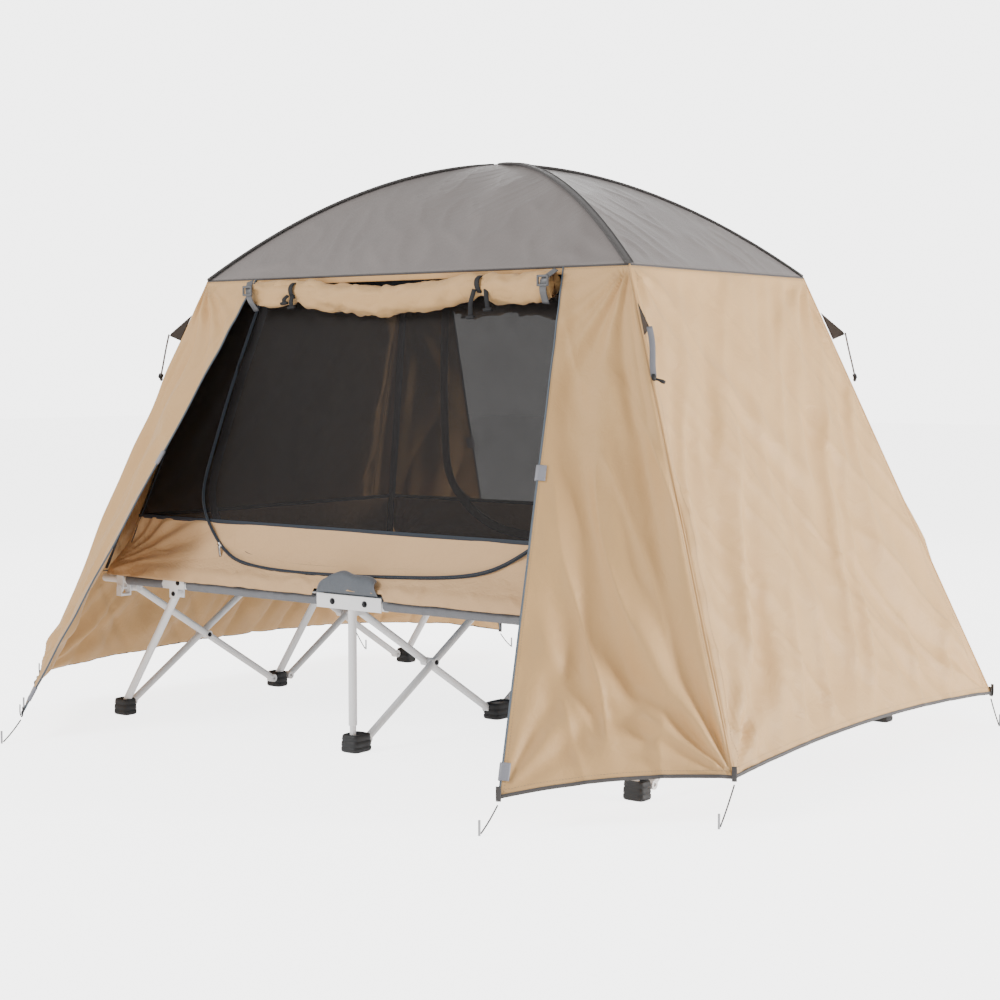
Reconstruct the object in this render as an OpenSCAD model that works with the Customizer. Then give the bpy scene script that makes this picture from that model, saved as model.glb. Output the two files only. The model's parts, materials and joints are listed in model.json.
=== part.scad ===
// Double camp cot with a fitted tent: three rows of folding rails, scissor braces and a fly.
// X runs along the cot, Y from front to back, Z up, and the origin is under the centre foot.

/* [Cot frame] */
// Distance from the middle row of the frame to the front and back rows
row_y = 665; // [500:1:900]
// Distance from the middle column of feet to the end columns
col_x = 950; // [800:1:1200]
// Height of the rail axis above the floor
rail_z = 420; // [340:1:520]
// Length of each half rail measured from the middle of the cot
rail_reach = 1035; // [900:1:1300]
// Outside diameter of the rails
rail_d = 25; // [18:0.5:32]
// Outside diameter of the legs
leg_d = 24; // [16:0.5:28]
// Outside diameter of the scissor braces
brace_d = 22; // [14:0.5:28]
// Wall thickness of every tube
tube_wall = 1.5; // [1:0.1:3]
// Distance from the middle of the cot to each leg pivot
leg_pivot_x = 710; // [500:1:900]
// Drop from the rail axis to the pivots of the legs and end knuckles
pivot_drop = 27; // [24:0.5:40]

/* [Pivots] */
// Diameter of the pivot pins
pin_d = 8; // [5:0.5:12]
// Radial running clearance between a pin and its hole
pin_gap = 0.05; // [0.01:0.01:0.1]
// Radial clearance where a linkage loop is left open
loop_gap = 1; // [0.5:0.1:3]
// Distance from a row to the brace pivots beside it
ear_y = 40; // [34:1:60]
// Height of the lower brace pivots above the floor
low_pivot_z = 33; // [24:1:60]
// Distance of each brace layer from the plane of its column
layer_x = 15; // [13:0.5:24]
// Width of the eye on the end of a brace
eye_d = 25; // [18:0.5:30]
// Half the distance between the two rail bolts in a hub
hub_bolt_x = 60; // [40:1:90]
// Length of a hub plate
hub_len = 240; // [160:1:320]
// Height of a hub plate
hub_h = 40; // [30:1:60]
// Thickness of hub and bracket plates
plate_t = 3; // [2:0.5:6]
// Length of the bracket that holds a leg on its rail
bracket_len = 92; // [60:1:180]
// Width of the bracket's tab that reaches down to the leg pivot
bracket_tab = 34; // [24:1:60]
// Clearance at each side of a moving tube between plates
side_gap = 0.5; // [0.3:0.1:2]

/* [Feet and posts] */
// Length of a foot along the cot
foot_len = 64; // [40:1:90]
// Width of a foot across the cot
foot_w = 50; // [36:1:52]
// Height of a foot
foot_h = 50; // [40:1:80]
// Corner radius of a foot
foot_r = 8; // [3:1:14]
// Thickness of rubber under the end of a tube in its foot
foot_floor = 10; // [4:1:20]
// Outside diameter of the telescoping post
post_d = 24; // [18:0.5:30]
// Outside diameter of the inner part of the post
post_inner_d = 18; // [12:0.5:24]
// Height of the bottom end of the outer post
post_low_z = 75; // [60:1:120]

/* [Bed] */
// Height of the underside of the bed sheet above the rail axis
bed_rise = 21; // [20.5:0.5:40]
// Thickness of the bed sheet
bed_t = 3; // [2:0.5:8]
// Overhang of the bed sheet past the front and back rail axes
bed_over = 13; // [5:1:30]
// Gap between the two halves of the bed sheet
bed_split = 10; // [4:1:30]

/* [Tent] */
// Half length of the tent at the rim of its roof
rim_x = 780; // [600:1:1000]
// Half width of the tent at the rim of its roof
rim_y = 458; // [350:1:640]
// Height of the rim of the roof
rim_z = 1335; // [1000:1:1600]
// Height of the peak of the roof
peak_z = 1674; // [1300:1:2000]
// Half length of the fly at its lower corners
hem_x = 1270; // [1100:1:1600]
// Half width of the fly at its lower corners
hem_y = 735; // [690:1:1000]
// Height of the lower corners of the fly
hem_z = 100; // [40:1:300]
// Distance from the middle to the doorway edge at the rim
door_x = 571; // [400:1:700]
// Distance from the middle to the doorway edge at the hem
flap_x = 870; // [700:1:1000]
// Distance a door flap reaches forward at its hem
flap_y = 1125; // [900:1:1400]
// Height of the hem of a door flap
flap_z = 66; // [30:1:200]
// Thickness of the fly panels
fly_t = 2; // [1.5:0.5:5]
// Gap left between neighbouring panels along a seam
seam_gap = 6; // [3:1:15]
// Diameter of a rolled door
roll_d = 68; // [40:1:90]
// Diameter of the tent poles
pole_d = 9; // [6:0.5:14]
// Half length of the inner tent at the bed
inner_x = 1005; // [850:1:1100]
// Half width of the inner tent at the bed
inner_y = 636; // [480:1:655]
// Distance from the rim of the roof in to the top of the inner tent
inner_in = 34; // [25:1:80]
// Height of the line where the solid lower wall meets the mesh
mesh_z = 618; // [520:1:800]

/* [Pegs and ropes] */
// Diameter of the ground ropes
rope_d = 4; // [3:0.5:8]
// Height of a peg above the ground
peg_h = 36; // [20:1:60]
// Diameter of a peg
peg_d = 6; // [4:0.5:10]
// Distance from a hem corner out to its peg
peg_out = 62; // [40:1:200]

/* [Hidden] */
$fn = 48;

steel = [0.72, 0.73, 0.74];
black = [0.06, 0.06, 0.06];
sheet_blue = [0.36, 0.42, 0.47];
fly_tan = [0.72, 0.62, 0.48];
fly_grey = [0.44, 0.42, 0.40];
mesh_dark = [0.12, 0.10, 0.09];
skirt_tan = [0.62, 0.50, 0.38];

pivot_z = rail_z - pivot_drop;
bed_z = rail_z + bed_rise;
bed_top = bed_z + bed_t;
pin_hole = pin_d + 2 * pin_gap;
loop_hole = pin_d + 2 * loop_gap;
hub_in = rail_d / 2 + side_gap;
arm_in = leg_d / 2 + side_gap / 2;
cheek_in = arm_in + plate_t + side_gap;
cheek_t = plate_t + 1;
ear_t = 2 * (layer_x - brace_d / 2 - 1);
brace_run = row_y - 2 * ear_y;
brace_rise = pivot_z - low_pivot_z;
brace_len = sqrt(pow(brace_run, 2) + pow(brace_rise, 2));
brace_tilt = atan2(brace_rise, brace_run);
rail_start = hub_bolt_x - 16;
leg_run = col_x - leg_pivot_x;
leg_rise = pivot_z - low_pivot_z;
leg_tilt = atan2(leg_rise, leg_run);
leg_len = sqrt(pow(leg_run, 2) + pow(leg_rise, 2));
leg_past = (low_pivot_z - foot_floor - leg_d / 2) / sin(leg_tilt);
post_bore = post_inner_d + 1;

function mix(a, b, t) = a + (b - a) * t;
function ridge_z(t) = peak_z - (peak_z - rim_z) * pow(t, 1.9);

// ---- shared shapes ----
module bar(d, len) rotate([0, 90, 0]) cylinder(d = d, h = len);
module pin_y(d, len) rotate([90, 0, 0]) cylinder(d = d, h = len, center = true);
module pin_x(d, len) rotate([0, 90, 0]) cylinder(d = d, h = len, center = true);
module block(len, w, h, r) {
    translate([-len / 2 + r, -w / 2, 0]) cube([len - 2 * r, w, h]);
    translate([-len / 2, -w / 2 + r, 0]) cube([len, w - 2 * r, h]);
    for (x = [-1, 1], y = [-1, 1])
        translate([x * (len / 2 - r), y * (w / 2 - r), 0]) cylinder(r = r, h = h);
}

// A closed sheet between four corners a, b (top) and c, d (bottom), thickened by the vector off.
module sheet(a, b, c, d, off, nu = 4, nv = 6, edge = 0.005) {
    front = [for (j = [0 : nv], i = [0 : nu])
        let (u = mix(edge, 1 - edge, i / nu), v = mix(edge, 1 - edge, j / nv))
        mix(mix(a, b, u), mix(c, d, u), v)];
    count = (nu + 1) * (nv + 1);
    back = [for (p = front) p + off];
    cells = [for (j = [0 : nv - 1], i = [0 : nu - 1]) j * (nu + 1) + i];
    rim = concat([for (i = [0 : nu]) i],
        [for (j = [1 : nv]) j * (nu + 1) + nu],
        [for (i = [nu - 1 : -1 : 0]) nv * (nu + 1) + i],
        [for (j = [nv - 1 : -1 : 1]) j * (nu + 1)]);
    skin = [for (c = cells) each [[c, c + 1, c + nu + 2], [c, c + nu + 2, c + nu + 1]]];
    under = [for (f = skin) [f[2] + count, f[1] + count, f[0] + count]];
    edges = [for (k = [0 : len(rim) - 1])
        let (p = rim[k], q = rim[(k + 1) % len(rim)])
        each [[p, q + count, q], [p, p + count, q + count]]];
    polyhedron(concat(front, back), concat(skin, under, edges));
}

// A solid stack of level rectangles, each given as [half length, half width, height].
module stack(rings) {
    n = len(rings);
    points = [for (r = rings) each
        [[-r[0], -r[1], r[2]], [r[0], -r[1], r[2]], [r[0], r[1], r[2]], [-r[0], r[1], r[2]]]];
    sides = [for (k = [0 : n - 2], i = [0 : 3])
        let (p = 4 * k + i, q = 4 * k + (i + 1) % 4)
        each [[p, p + 4, q + 4], [p, q + 4, q]]];
    polyhedron(points, concat([[0, 1, 2, 3]], sides,
        [[4 * n - 1, 4 * n - 2, 4 * n - 3, 4 * n - 4]]));
}

// A round bar that follows a list of points, with eight flats.
module follow(path, d) {
    n = len(path);
    points = [for (k = [0 : n - 1])
        let (t = path[min(k + 1, n - 1)] - path[max(k - 1, 0)],
             s = cross(t, [t[1], -t[0], 0.001]), w = cross(t, s))
        each [for (i = [0 : 7])
            path[k] + d / 2 * (s / norm(s) * cos(45 * i) + w / norm(w) * sin(45 * i))]];
    sides = [for (k = [0 : n - 2], i = [0 : 7])
        let (p = 8 * k + i, q = 8 * k + (i + 1) % 8)
        each [[p, p + 8, q + 8], [p, q + 8, q]]];
    polyhedron(points, concat([[for (i = [0 : 7]) i]], sides,
        [[for (i = [7 : -1 : 0]) 8 * (n - 1) + i]]));
}

// ---- cot frame ----
// side is -1 for the left or front ear, 1 for the right or back ear
module ear(y_start, side, pin_side, y_pin = ear_y, up = 12) {
    translate([-ear_t / 2, side > 0 ? y_start : -y_pin - 12, -12])
        cube([ear_t, y_pin + 12 - y_start, 12 + up]);
    translate([pin_side * (layer_x + brace_d / 2 + 2) / 2, side * y_pin, 0])
        pin_x(pin_d, layer_x + brace_d / 2 + 2);
}

module hub(y, front_ear, back_ear, pin_side, post) {
    color(steel) translate([0, y, 0]) {
        for (s = [-1, 1]) translate([0, s * (hub_in + plate_t / 2), rail_z])
            cube([hub_len, plate_t, hub_h], center = true);
        difference() {
            translate([-30, -hub_in - 0.1, rail_z - hub_h / 2])
                cube([60, 2 * hub_in + 0.2, hub_h]);
            if (post) translate([0, 0, rail_z - hub_h])
                cylinder(d = post_bore, h = 2 * hub_h);
        }
        for (s = [-1, 1]) translate([s * hub_bolt_x, 0, rail_z])
            pin_y(pin_d, 2 * hub_in + 2 * plate_t + 6);
        if (front_ear) translate([0, 0, pivot_z])
            ear(hub_in + 0.2, -1, pin_side, up = pivot_drop - hub_h / 2 + 5);
        if (back_ear) translate([0, 0, pivot_z])
            ear(hub_in + 0.2, 1, pin_side, up = pivot_drop - hub_h / 2 + 5);
        if (post) difference() {
            translate([0, 0, post_low_z])
                cylinder(d = post_d, h = rail_z - hub_h / 2 - post_low_z + 1);
            translate([0, 0, post_low_z - 1])
                cylinder(d = post_bore, h = rail_z - hub_h / 2 - post_low_z + 4);
        }
    }
}

module rail(y, s) {
    color(steel) translate([0, y, 0]) {
        difference() {
            translate([s > 0 ? rail_start : -rail_reach, 0, rail_z])
                bar(rail_d, rail_reach - rail_start);
            translate([s > 0 ? rail_start + 40 : 4 - rail_reach, 0, rail_z])
                bar(rail_d - 2 * tube_wall, rail_reach - rail_start - 44);
            translate([s * hub_bolt_x, 0, rail_z]) pin_y(pin_hole, rail_d + 2);
        }
        for (k = [-1, 1]) {
            translate([s * leg_pivot_x - bracket_len / 2, k > 0 ? arm_in : -arm_in - plate_t,
                rail_z - rail_d / 2]) cube([bracket_len, plate_t, rail_d + 2]);
            translate([s * leg_pivot_x - bracket_tab / 2, k > 0 ? arm_in : -arm_in - plate_t,
                pivot_z - 13]) cube([bracket_tab, plate_t, pivot_drop + 13]);
            translate([s * col_x - 14, k > 0 ? arm_in : -arm_in - plate_t, pivot_z])
                cube([28, plate_t, pivot_drop + rail_d / 2]);
            translate([s * col_x, k * (arm_in + plate_t / 2), pivot_z]) pin_y(28, plate_t);
        }
        translate([s * leg_pivot_x, 0, pivot_z]) pin_y(pin_d, 2 * (arm_in + plate_t) + 6);
        translate([s * col_x, 0, pivot_z]) pin_y(pin_d, 2 * (cheek_in + cheek_t - 1.3));
    }
}

module leg_line(s) {
    translate([s * leg_pivot_x, 0, pivot_z])
        rotate([0, s > 0 ? leg_tilt : 180 - leg_tilt, 0]) children();
}

module leg(y, s) {
    color(steel) translate([0, y, 0]) leg_line(s) difference() {
        union() {
            difference() {
                bar(leg_d, leg_len + leg_past);
                translate([20, 0, 0]) bar(leg_d - 2 * tube_wall, leg_len + leg_past);
            }
            pin_y(leg_d, leg_d);
        }
        pin_y(pin_hole, leg_d + 2);
    }
}

module knuckle(y, s, front_ear, back_ear, pin_side) {
    color(steel) translate([s * col_x, y, pivot_z]) {
        difference() {
            for (k = [-1, 1]) translate([0, k * (cheek_in + cheek_t / 2), 0]) {
                pin_y(22, cheek_t);
                translate([-11, -cheek_t / 2, -24]) cube([22, cheek_t, 24]);
            }
            pin_y(pin_hole, 4 * cheek_in);
        }
        translate([-11, -cheek_in - 0.5, -24]) cube([22, 2 * cheek_in + 1, 6]);
        if (front_ear) ear(cheek_in + cheek_t - 1, -1, pin_side);
        if (back_ear) ear(cheek_in + cheek_t - 1, 1, pin_side);
    }
}

module end_foot(x, y) {
    s = sign(x);
    color(black) difference() {
        translate([x, y, 0]) block(foot_len, foot_w, foot_h, foot_r);
        translate([0, y, 0]) leg_line(s) bar(leg_d + 0.2, leg_len + leg_past + 0.2);
    }
}

module middle_foot(y, front_ear, back_ear, pin_side, post) {
    color(black) translate([0, y, 0]) {
        difference() {
            block(foot_len, foot_w, foot_h, foot_r);
            if (post) translate([0, 0, foot_floor]) cylinder(d = post_inner_d + 0.1, h = foot_h);
        }
        if (front_ear) translate([0, 0, low_pivot_z]) ear(foot_w / 2 - 1, -1, pin_side);
        if (back_ear) translate([0, 0, low_pivot_z]) ear(foot_w / 2 - 1, 1, pin_side);
    }
}

module post(y) {
    color(steel) translate([0, y, foot_floor])
        cylinder(d = post_inner_d, h = pivot_z - foot_floor);
}

// A brace runs from its top pivot near row y0 down to its lower pivot near row y1.
module brace(x, y0, y1, layer, has_pin, top_hole, low_hole) {
    dir = sign(y1 - y0);
    color(steel) translate([x + layer * layer_x, y0 + dir * ear_y, pivot_z])
        rotate([-dir * brace_tilt, 0, 0]) difference() {
            union() {
                difference() {
                    rotate([-dir * 90, 0, 0]) cylinder(d = brace_d, h = brace_len);
                    for (k = [0, 1]) translate([0, dir * (k * brace_len / 2 + 16), 0])
                        rotate([-dir * 90, 0, 0])
                            cylinder(d = brace_d - 2 * tube_wall, h = brace_len / 2 - 32);
                }
                for (k = [0, 0.5, 1]) translate([0, dir * k * brace_len, 0])
                    pin_x(eye_d, brace_d + 1);
                if (has_pin) translate([-layer * (layer_x + 1), dir * brace_len / 2, 0])
                    pin_x(pin_d, 2 * layer_x + brace_d + 2);
            }
            pin_x(top_hole, 2 * brace_d);
            translate([0, dir * brace_len, 0]) pin_x(low_hole, 2 * brace_d);
            if (!has_pin) translate([0, dir * brace_len / 2, 0]) pin_x(pin_hole, 2 * brace_d);
        }
}

// ---- bed ----
module bed(s) {
    color(sheet_blue)
        translate([s > 0 ? bed_split / 2 : -rail_reach + 5, -row_y - bed_over, bed_z])
            cube([rail_reach - 5 - bed_split / 2, 2 * (row_y + bed_over), bed_t]);
}

// ---- tent ----
module roof() {
    steps = 12;
    outer = [for (k = [steps : -1 : 0]) let (t = max(k / steps, 0.02))
        [rim_x * t, rim_y * t, ridge_z(t)]];
    color(fly_grey) difference() {
        stack(outer);
        translate([0, 0, -fly_t * 1.5]) stack(outer);
        translate([-hem_x, -hem_x, rim_z - 50]) cube([2 * hem_x, 2 * hem_x, 50]);
    }
}

module end_wall(s) {
    color(fly_tan) sheet([s * rim_x, -s * rim_y, rim_z - seam_gap],
        [s * rim_x, s * rim_y, rim_z - seam_gap],
        [s * hem_x, -s * hem_y, hem_z], [s * hem_x, s * hem_y, hem_z],
        [s * fly_t, 0, 0], 2, 2);
}

module flap(s, r) {
    top_in = [s * door_x, r * rim_y, rim_z - seam_gap];
    top_out = [s * (rim_x - seam_gap), r * rim_y, rim_z - seam_gap];
    low_in = [s * flap_x, r * flap_y, flap_z];
    low_out = [s * (hem_x - seam_gap), r * hem_y, hem_z];
    color(fly_tan) if (s * r < 0)
        sheet(top_in, top_out, low_in, low_out, [0, r * fly_t, 0], 4, 8);
    else
        sheet(top_out, top_in, low_out, low_in, [0, r * fly_t, 0], 4, 8);
}

module door_roll(r) {
    color(fly_tan) translate([0, r * (rim_y + roll_d / 4), rim_z - roll_d / 2 - 11])
        pin_x(roll_d, 2 * (door_x - 16));
}

function inner_ring(z) = let (t = (z - bed_top - 2) / (rim_z - 25 - bed_top - 2))
    [mix(inner_x, rim_x - inner_in, t), mix(inner_y, rim_y - inner_in, t), z];

module inner_wall(z0, z1) {
    a = inner_ring(z0);
    b = inner_ring(z1);
    w = [fly_t, fly_t, 0];
    difference() {
        stack([a, b]);
        stack([inner_ring(z0 - 5) - w, inner_ring(z1 + 5) - w]);
    }
}

module inner_skirt() {
    color(skirt_tan) inner_wall(bed_top + 2, mesh_z);
}

module inner_mesh() {
    color(mesh_dark) inner_wall(mesh_z + 1, rim_z - 25);
}

// One pole bends over the other at the peak, with the drop between them.
module pole(s, drop) {
    steps = 12;
    low = bed_top + pole_d / 2;
    foot = [rail_reach - 5, row_y, low];
    bend = [rim_x * 0.985, rim_y * 0.985, rim_z - 14];
    half = concat([foot, mix(foot, bend, 0.5), bend],
        [for (k = [steps - 1 : -1 : 0]) let (t = k / steps)
            [rim_x * t, rim_y * t, ridge_z(t) - 12 - drop * (1 - t)]]);
    turned = [for (k = [len(half) - 2 : -1 : 0]) [-half[k][0], -half[k][1], half[k][2]]];
    follow([for (p = concat(half, turned)) [p[0], s * p[1], p[2]]], pole_d);
}

module poles() {
    color(black) {
        pole(1, 0);
        pole(-1, pole_d + 2);
    }
}

// The eight hem corners, each with the point on the ground where its peg stands.
corners = [for (s = [-1, 1], r = [-1, 1]) each [
    [[s * hem_x, r * hem_y, hem_z - 8], [s * hem_x, r * (hem_y + peg_out), rope_d]],
    [[s * flap_x, r * flap_y, flap_z - 8], [s * flap_x, r * (flap_y + peg_out), rope_d]]]];

module ground_ropes() {
    color(fly_grey) for (c = corners)
        follow([c[0], mix(c[0], c[1], 0.5) - [0, 0, 3], c[1]], rope_d);
}

module pegs() {
    color(steel) for (c = corners) {
        out = sign(c[1][1]) * (rope_d / 2 + peg_d / 2 + 1);
        translate([c[1][0], c[1][1] + out, 0]) cylinder(d = peg_d, h = peg_h);
    }
}

// ---- drawing ----
hub(-row_y, false, true, -1, true);  // hub_front
hub(0, true, true, 1, false);  // hub_middle
hub(row_y, true, false, -1, true);  // hub_back
for (r = [-1, 0, 1], s = [-1, 1]) {
    row = ["front", "middle", "back"][r + 1];
    end = s < 0 ? "left" : "right";
    rail(r * row_y, s);
    leg(r * row_y, s);
    knuckle(r * row_y, s, r >= 0, r <= 0, r == 0 ? s : -s);
    end_foot(s * col_x, r * row_y);
}
middle_foot(-row_y, false, true, 1, true);  // foot_front_middle
middle_foot(0, true, true, -1, false);  // foot_centre
middle_foot(row_y, true, false, 1, true);  // foot_back_middle
post(-row_y);  // post_front
post(row_y);  // post_back
for (c = [-1, 0, 1], r = [-1, 1]) {
    name = str("brace_", ["left", "centre", "right"][c + 1], "_", r < 0 ? "front" : "back");
    layer = c < 0 ? -1 : 1;
    open = c == 0 ? pin_hole : loop_hole;
    brace(c * col_x, 0, r * row_y, layer, true, pin_hole, open);
    brace(c * col_x, r * row_y, 0, -layer, false, open, open);
}
bed(-1);  // bed_left
bed(1);  // bed_right
roof();
end_wall(-1);  // end_wall_left
end_wall(1);  // end_wall_right
flap(-1, -1);  // flap_front_left
flap(1, -1);  // flap_front_right
flap(-1, 1);  // flap_back_left
flap(1, 1);  // flap_back_right
door_roll(-1);  // door_roll_front
door_roll(1);  // door_roll_back
inner_skirt();
inner_mesh();
poles();
ground_ropes();
pegs();
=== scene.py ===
# %% [markdown]
# # Folding cot with a fitted tent
# This notebook dresses a finished engineering model. The cloth parts come in as plain solids
# that only mark their place, so we make each of them again as cloth.

# %% Load the engineering model
import json
import math
import bpy
import numpy as np
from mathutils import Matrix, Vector, noise


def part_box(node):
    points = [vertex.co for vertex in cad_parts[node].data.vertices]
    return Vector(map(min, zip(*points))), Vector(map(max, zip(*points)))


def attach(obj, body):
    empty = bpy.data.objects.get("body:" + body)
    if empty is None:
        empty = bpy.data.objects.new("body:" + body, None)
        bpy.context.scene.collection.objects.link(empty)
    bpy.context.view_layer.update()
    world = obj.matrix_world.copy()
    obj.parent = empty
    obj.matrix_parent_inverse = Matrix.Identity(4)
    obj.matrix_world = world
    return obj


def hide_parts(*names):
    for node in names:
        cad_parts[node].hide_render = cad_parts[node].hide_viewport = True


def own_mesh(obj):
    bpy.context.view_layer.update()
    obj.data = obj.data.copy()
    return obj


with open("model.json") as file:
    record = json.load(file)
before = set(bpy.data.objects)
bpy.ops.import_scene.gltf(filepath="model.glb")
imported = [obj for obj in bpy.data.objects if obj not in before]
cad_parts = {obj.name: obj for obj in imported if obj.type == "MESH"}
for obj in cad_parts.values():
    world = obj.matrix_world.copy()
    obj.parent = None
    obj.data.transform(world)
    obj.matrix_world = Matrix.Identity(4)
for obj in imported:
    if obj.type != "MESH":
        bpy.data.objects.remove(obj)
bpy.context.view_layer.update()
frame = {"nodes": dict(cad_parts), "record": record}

# %% [markdown]
# The camera stands to the right of the cot's front, a little above the bed, and looks down by a
# few degrees. A long lens keeps the rails nearly parallel, as a catalogue picture does.

# %% Camera
camera_data = bpy.data.cameras.new("camera")
camera_data.sensor_width = 36.0
camera_data.lens = 68.0
LOOK_DOWN, TURN_LEFT = 0.069, 0.6611
camera = bpy.data.objects.new("camera", camera_data)
camera.location = (3.521, -4.524, 1.064)
camera.rotation_euler = (math.pi / 2 - LOOK_DOWN, 0.0, TURN_LEFT)
bpy.context.scene.collection.objects.link(camera)
bpy.context.scene.camera = camera
print("lens", camera_data.lens)

# %% [markdown]
# Small builders come next. A piece of cloth is a grid of points, so one helper turns a grid into
# a mesh with a UV map in metres, and every weave can then be drawn at its true size. Another
# helper sweeps a round bar along a path, which makes piping, zips and ropes.

# %% Mesh builders
def new_piece(name, points, faces, uvs=None):
    mesh = bpy.data.meshes.new(name)
    mesh.from_pydata([tuple(p) for p in points], [], faces)
    if uvs is not None:
        layer = mesh.uv_layers.new(name="cut")
        index = np.empty(len(mesh.loops), dtype=np.int64)
        mesh.loops.foreach_get("vertex_index", index)
        layer.data.foreach_set("uv", np.asarray(uvs, float)[index].ravel())
    mesh.polygons.foreach_set("use_smooth", [True] * len(mesh.polygons))
    mesh.update()
    piece = bpy.data.objects.new(name, mesh)
    bpy.context.scene.collection.objects.link(piece)
    return piece


def steps_along(grid, axis):
    step = np.linalg.norm(np.diff(grid, axis=axis), axis=2)
    zero = np.zeros_like(np.take(step, [0], axis=axis))
    return np.concatenate([zero, np.cumsum(step, axis=axis)], axis=axis)


def cloth_from_grid(name, grid, flip=False):
    rows, cols = grid.shape[:2]
    uvs = np.stack([steps_along(grid, 1), steps_along(grid, 0)], axis=2).reshape(-1, 2)
    faces = []
    for j in range(rows - 1):
        for i in range(cols - 1):
            a = j * cols + i
            quad = (a, a + cols, a + cols + 1, a + 1)
            faces.append(quad[::-1] if flip else quad)
    return new_piece(name, grid.reshape(-1, 3), faces, uvs)


def path_frames(path):
    path = np.asarray(path, float)
    tangent = np.gradient(path, axis=0)
    tangent /= np.linalg.norm(tangent, axis=1)[:, None] + 1e-12
    side = np.cross(tangent, (0.13, 0.21, 1.0))
    side /= np.linalg.norm(side, axis=1)[:, None] + 1e-12
    return path, tangent, side, np.cross(side, tangent)


def swept_bar(name, path, radius, sides=10, flat=1.0):
    path, _, side, up = path_frames(path)
    radii = np.broadcast_to(np.asarray(radius, float), (len(path),))
    ring = np.linspace(0, 2 * math.pi, sides, endpoint=False)
    points = [p + r * (math.cos(t) * s + flat * math.sin(t) * u)
              for p, s, u, r in zip(path, side, up, radii) for t in ring]
    faces = []
    for k in range(len(path) - 1):
        for i in range(sides):
            a, b = k * sides + i, k * sides + (i + 1) % sides
            faces.append((a, b, b + sides, a + sides))
    faces.append(tuple(range(sides))[::-1])
    faces.append(tuple(range((len(path) - 1) * sides, len(path) * sides)))
    return new_piece(name, points, faces)


def smooth_path(points, count):
    points = np.asarray(points, float)
    reach = np.r_[0, np.cumsum(np.linalg.norm(np.diff(points, axis=0), axis=1))]
    at = np.linspace(0, reach[-1], count)
    out = np.stack([np.interp(at, reach, points[:, k]) for k in range(3)], axis=1)
    for _ in range(max(2, count // 12)):
        out[1:-1] = (out[:-2] + 2 * out[1:-1] + out[2:]) / 4
    return out


def merged(name, pieces, uvs=None):
    points, faces, shift = [], [], 0
    for p in pieces:
        points += [tuple(v.co) for v in p.data.vertices]
        faces += [tuple(i + shift for i in f.vertices) for f in p.data.polygons]
        shift += len(p.data.vertices)
        mesh = p.data
        bpy.data.objects.remove(p)
        bpy.data.meshes.remove(mesh)
    return new_piece(name, points, faces, uvs)


print("builders ready")

# %% [markdown]
# A finish is a small network of nodes. Weave and cloudy colour are needed by many cloths, so each
# is a node group that we build once: it has named inputs, and every material sets its own values.

# %% Shared finish groups
def group_start(name, sockets):
    tree = bpy.data.node_groups.new(name, "ShaderNodeTree")
    for label, way, kind, value in sockets:
        socket = tree.interface.new_socket(name=label, in_out=way, socket_type=kind)
        if value is not None:
            socket.default_value = value
    return tree, tree.nodes.new("NodeGroupInput"), tree.nodes.new("NodeGroupOutput")


def math_node(tree, operation, a, b=None):
    node = tree.nodes.new("ShaderNodeMath")
    node.operation = operation
    for socket, value in zip(node.inputs, (a, b)):
        if value is None:
            continue
        if isinstance(value, (int, float)):
            socket.default_value = value
        else:
            tree.links.new(value, socket)
    return node.outputs[0]


def weave_group():
    tree, given, result = group_start("plain_weave", [
        ("Vector", "INPUT", "NodeSocketVector", None),
        ("Threads per metre", "INPUT", "NodeSocketFloat", 900.0),
        ("Crumple size", "INPUT", "NodeSocketFloat", 18.0),
        ("Weave height", "OUTPUT", "NodeSocketFloat", None),
        ("Crumple height", "OUTPUT", "NodeSocketFloat", None),
        ("Mottle", "OUTPUT", "NodeSocketFloat", None)])
    sep = tree.nodes.new("ShaderNodeSeparateXYZ")
    tree.links.new(given.outputs["Vector"], sep.inputs[0])
    waves = []
    for axis in (0, 1):
        turn = math_node(tree, "MULTIPLY", sep.outputs[axis], given.outputs["Threads per metre"])
        waves.append(math_node(tree, "SINE", math_node(tree, "MULTIPLY", turn, 2 * math.pi)))
    both = math_node(tree, "MULTIPLY", waves[0], waves[1])
    tree.links.new(both, result.inputs["Weave height"])
    crumple = tree.nodes.new("ShaderNodeTexNoise")
    crumple.inputs["Detail"].default_value = 5.0
    crumple.inputs["Roughness"].default_value = 0.55
    crumple.inputs["Distortion"].default_value = 0.6
    tree.links.new(given.outputs["Vector"], crumple.inputs["Vector"])
    tree.links.new(given.outputs["Crumple size"], crumple.inputs["Scale"])
    tree.links.new(crumple.outputs["Fac"], result.inputs["Crumple height"])
    cloud = tree.nodes.new("ShaderNodeTexNoise")
    cloud.inputs["Scale"].default_value = 3.1
    cloud.inputs["Detail"].default_value = 3.0
    tree.links.new(given.outputs["Vector"], cloud.inputs["Vector"])
    tree.links.new(cloud.outputs["Fac"], result.inputs["Mottle"])
    return tree


def speckle_group():
    tree, given, result = group_start("fine_speckle", [
        ("Vector", "INPUT", "NodeSocketVector", None),
        ("Scale", "INPUT", "NodeSocketFloat", 400.0),
        ("Height", "OUTPUT", "NodeSocketFloat", None),
        ("Mask", "OUTPUT", "NodeSocketFloat", None)])
    fine = tree.nodes.new("ShaderNodeTexNoise")
    fine.inputs["Detail"].default_value = 2.0
    broad = tree.nodes.new("ShaderNodeTexNoise")
    broad.inputs["Scale"].default_value = 9.0
    broad.inputs["Detail"].default_value = 6.0
    tree.links.new(given.outputs["Vector"], fine.inputs["Vector"])
    tree.links.new(given.outputs["Vector"], broad.inputs["Vector"])
    tree.links.new(given.outputs["Scale"], fine.inputs["Scale"])
    tree.links.new(fine.outputs["Fac"], result.inputs["Height"])
    tree.links.new(broad.outputs["Fac"], result.inputs["Mask"])
    return tree


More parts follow.
